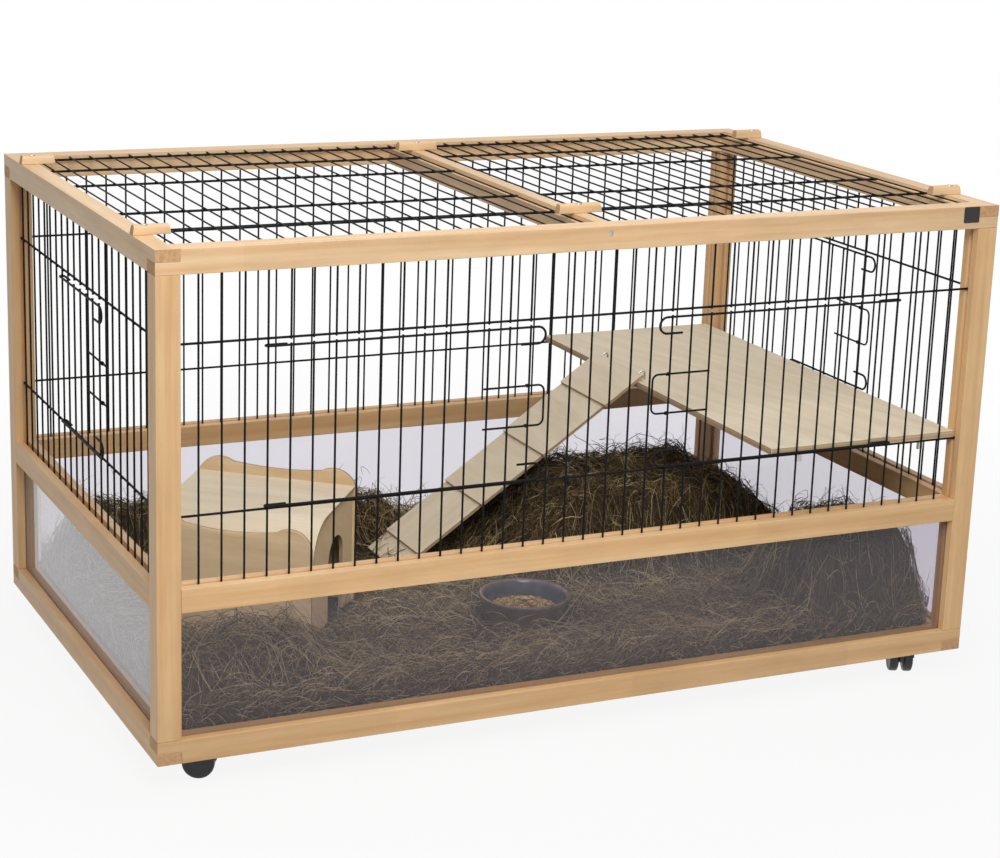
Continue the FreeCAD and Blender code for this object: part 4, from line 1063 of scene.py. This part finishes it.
# lids: cross wires on long bars that lie in the rebates
lidSet = {"bar": 3.2, "wire": 2.2, "barZ": 656.6, "insets": (7.0, 100.0, 219.0), "innerY": 320.0,
          "ends": (-550.5, -9.5), "edges": (-541.0, -19.0), "wires": 18, "reach": 318.0,
          "weld": (1.6, 1.8, 1.5)}
for name, flipped in (("lid_left", False), ("lid_right", True)):
    soup = newSoup()
    barZ, reach = lidSet["barZ"], lidSet["reach"]
    left, right = lidSet["ends"]
    wireZ = barZ + lidSet["bar"] / 2 + lidSet["wire"] / 2
    xs = [wireX("front", k) for k in range(lidSet["wires"])] + list(lidSet["edges"])
    for inset in lidSet["insets"]:
        for y in (inset - lidSet["innerY"], lidSet["innerY"] - inset):
            addTube(soup, [(left, y, barZ), (right, y, barZ)], lidSet["bar"] / 2)
            for x in xs:
                addBead(soup, (x, y, (wireZ + barZ) / 2), lidSet["weld"])
    for x in xs:
        addTube(soup, [(x, -reach, wireZ), (x, reach, wireZ)], lidSet["wire"] / 2)
    wirePiece(name, soup, "frame", "front", flipped)
print("lids ready")

# camera and light
cameraSet = {"placeMm": (-1330.53, -2831.06, 1178.60), "azimuth": -25.599, "elevation": 15.453, "roll": 2.015,
             "focalPixels": 2346.49, "widthPixels": 1000, "sensorMm": 36.0}


def makeCamera():
    data = bpy.data.cameras.new("photoCamera")
    camera = bpy.data.objects.new("photoCamera", data)
    bpy.context.scene.collection.objects.link(camera)
    azimuth, elevation, roll = (math.radians(cameraSet[k]) for k in ("azimuth", "elevation", "roll"))
    level = math.cos(elevation)
    back = Vector((math.sin(azimuth) * level, -math.cos(azimuth) * level, math.sin(elevation)))
    across = (-back).cross(Vector((0, 0, 1))).normalized()
    upright = across.cross(-back)
    right = across * math.cos(roll) + upright * math.sin(roll)
    up = upright * math.cos(roll) - across * math.sin(roll)
    matrix = Matrix((right, up, back)).transposed().to_4x4()
    matrix.translation = Vector(cameraSet["placeMm"]) * mm
    camera.matrix_world = matrix
    data.sensor_width = cameraSet["sensorMm"]
    data.lens = cameraSet["focalPixels"] / cameraSet["widthPixels"] * cameraSet["sensorMm"]
    bpy.context.scene.camera = camera


makeCamera()

# a white surround for what the camera and the panes see, and two soft lamps from above and in front
lightSet = {"world": 0.28, "aim": (0, 0, 0.4), "floorHalf": 9.0, "floorColor": "#CCCCCC", "floorNear": 0.9,
            "fade": (0.7, 1.8), "lamps": {
                "softKey": {"place": (-0.7, -2.0, 2.1), "size": 1.2, "watts": 42.0},
                "softTop": {"place": (-0.1, -0.4, 2.6), "size": 1.8, "watts": 17.0}}}


# 1 for rays of these kinds, 0 for others
def rayKinds(tree, first, *others):
    path = addNode(tree, "ShaderNodeLightPath")
    seen = path.outputs[first]
    for kind in others:
        inputs = {0: seen, 1: path.outputs[kind]}
        seen = addNode(tree, "ShaderNodeMath", inputs, operation="MAXIMUM").outputs[0]
    return seen


def makeWorld():
    world = bpy.data.worlds.new("paleStudio")
    world.use_nodes = True
    bpy.context.scene.world = world
    tree = world.node_tree
    seen = rayKinds(tree, "Is Camera Ray", "Is Glossy Ray", "Is Transmission Ray")
    ground = tree.nodes["Background"]
    ground.inputs["Color"].default_value = grey(1.0)
    strength = addNode(tree, "ShaderNodeMapRange", {"Value": seen, "To Min": lightSet["world"]}).outputs[0]
    tree.links.new(strength, ground.inputs["Strength"])


def makeLamps():
    for name, lamp in lightSet["lamps"].items():
        data = bpy.data.lights.new(name, "AREA")
        data.shape = "DISK"
        data.size = lamp["size"]
        data.energy = lamp["watts"]
        light = bpy.data.objects.new(name, data)
        light.location = lamp["place"]
        light.rotation_euler = (Vector(lightSet["aim"]) - light.location).to_track_quat("-Z", "Y").to_euler()
        bpy.context.scene.collection.objects.link(light)


# the floor takes the object's shadow near it and fades to white further out
def makeFloor():
    half = lightSet["floorHalf"]
    mesh = bpy.data.meshes.new("studioFloor")
    corners = [(-half, -half, 0), (half, -half, 0), (half, half, 0), (-half, half, 0)]
    mesh.from_pydata(corners, [], [(0, 1, 2, 3)])
    floor = bpy.data.objects.new("studioFloor", mesh)
    bpy.context.scene.collection.objects.link(floor)
    material, tree, shader = newMaterial("studioFloorPale")
    tree.nodes.remove(shader)
    seen = rayKinds(tree, "Is Camera Ray", "Is Glossy Ray")
    place = addNode(tree, "ShaderNodeTexCoord").outputs["Object"]
    away = addNode(tree, "ShaderNodeVectorMath", {0: place}, operation="LENGTH").outputs["Value"]
    near, far = lightSet["fade"]
    inputs = {"Value": away, "From Min": near, "From Max": far, "To Min": lightSet["floorNear"]}
    fade = addNode(tree, "ShaderNodeMapRange", inputs).outputs[0]
    share = addNode(tree, "ShaderNodeMath", {0: seen, 1: fade}, operation="MULTIPLY").outputs[0]
    matt = addNode(tree, "ShaderNodeBsdfDiffuse", {"Color": hexColor(lightSet["floorColor"])}).outputs[0]
    glow = addNode(tree, "ShaderNodeEmission", {"Color": grey(1.0), "Strength": 1.0}).outputs[0]
    mix = addNode(tree, "ShaderNodeMixShader", {0: share, 1: matt, 2: glow}).outputs[0]
    tree.links.new(mix, tree.nodes["Material Output"].inputs["Surface"])
    mesh.materials.append(material)


bpy.context.scene.view_settings.view_transform = "Standard"
makeWorld()
makeLamps()
makeFloor()
print("camera and light ready")
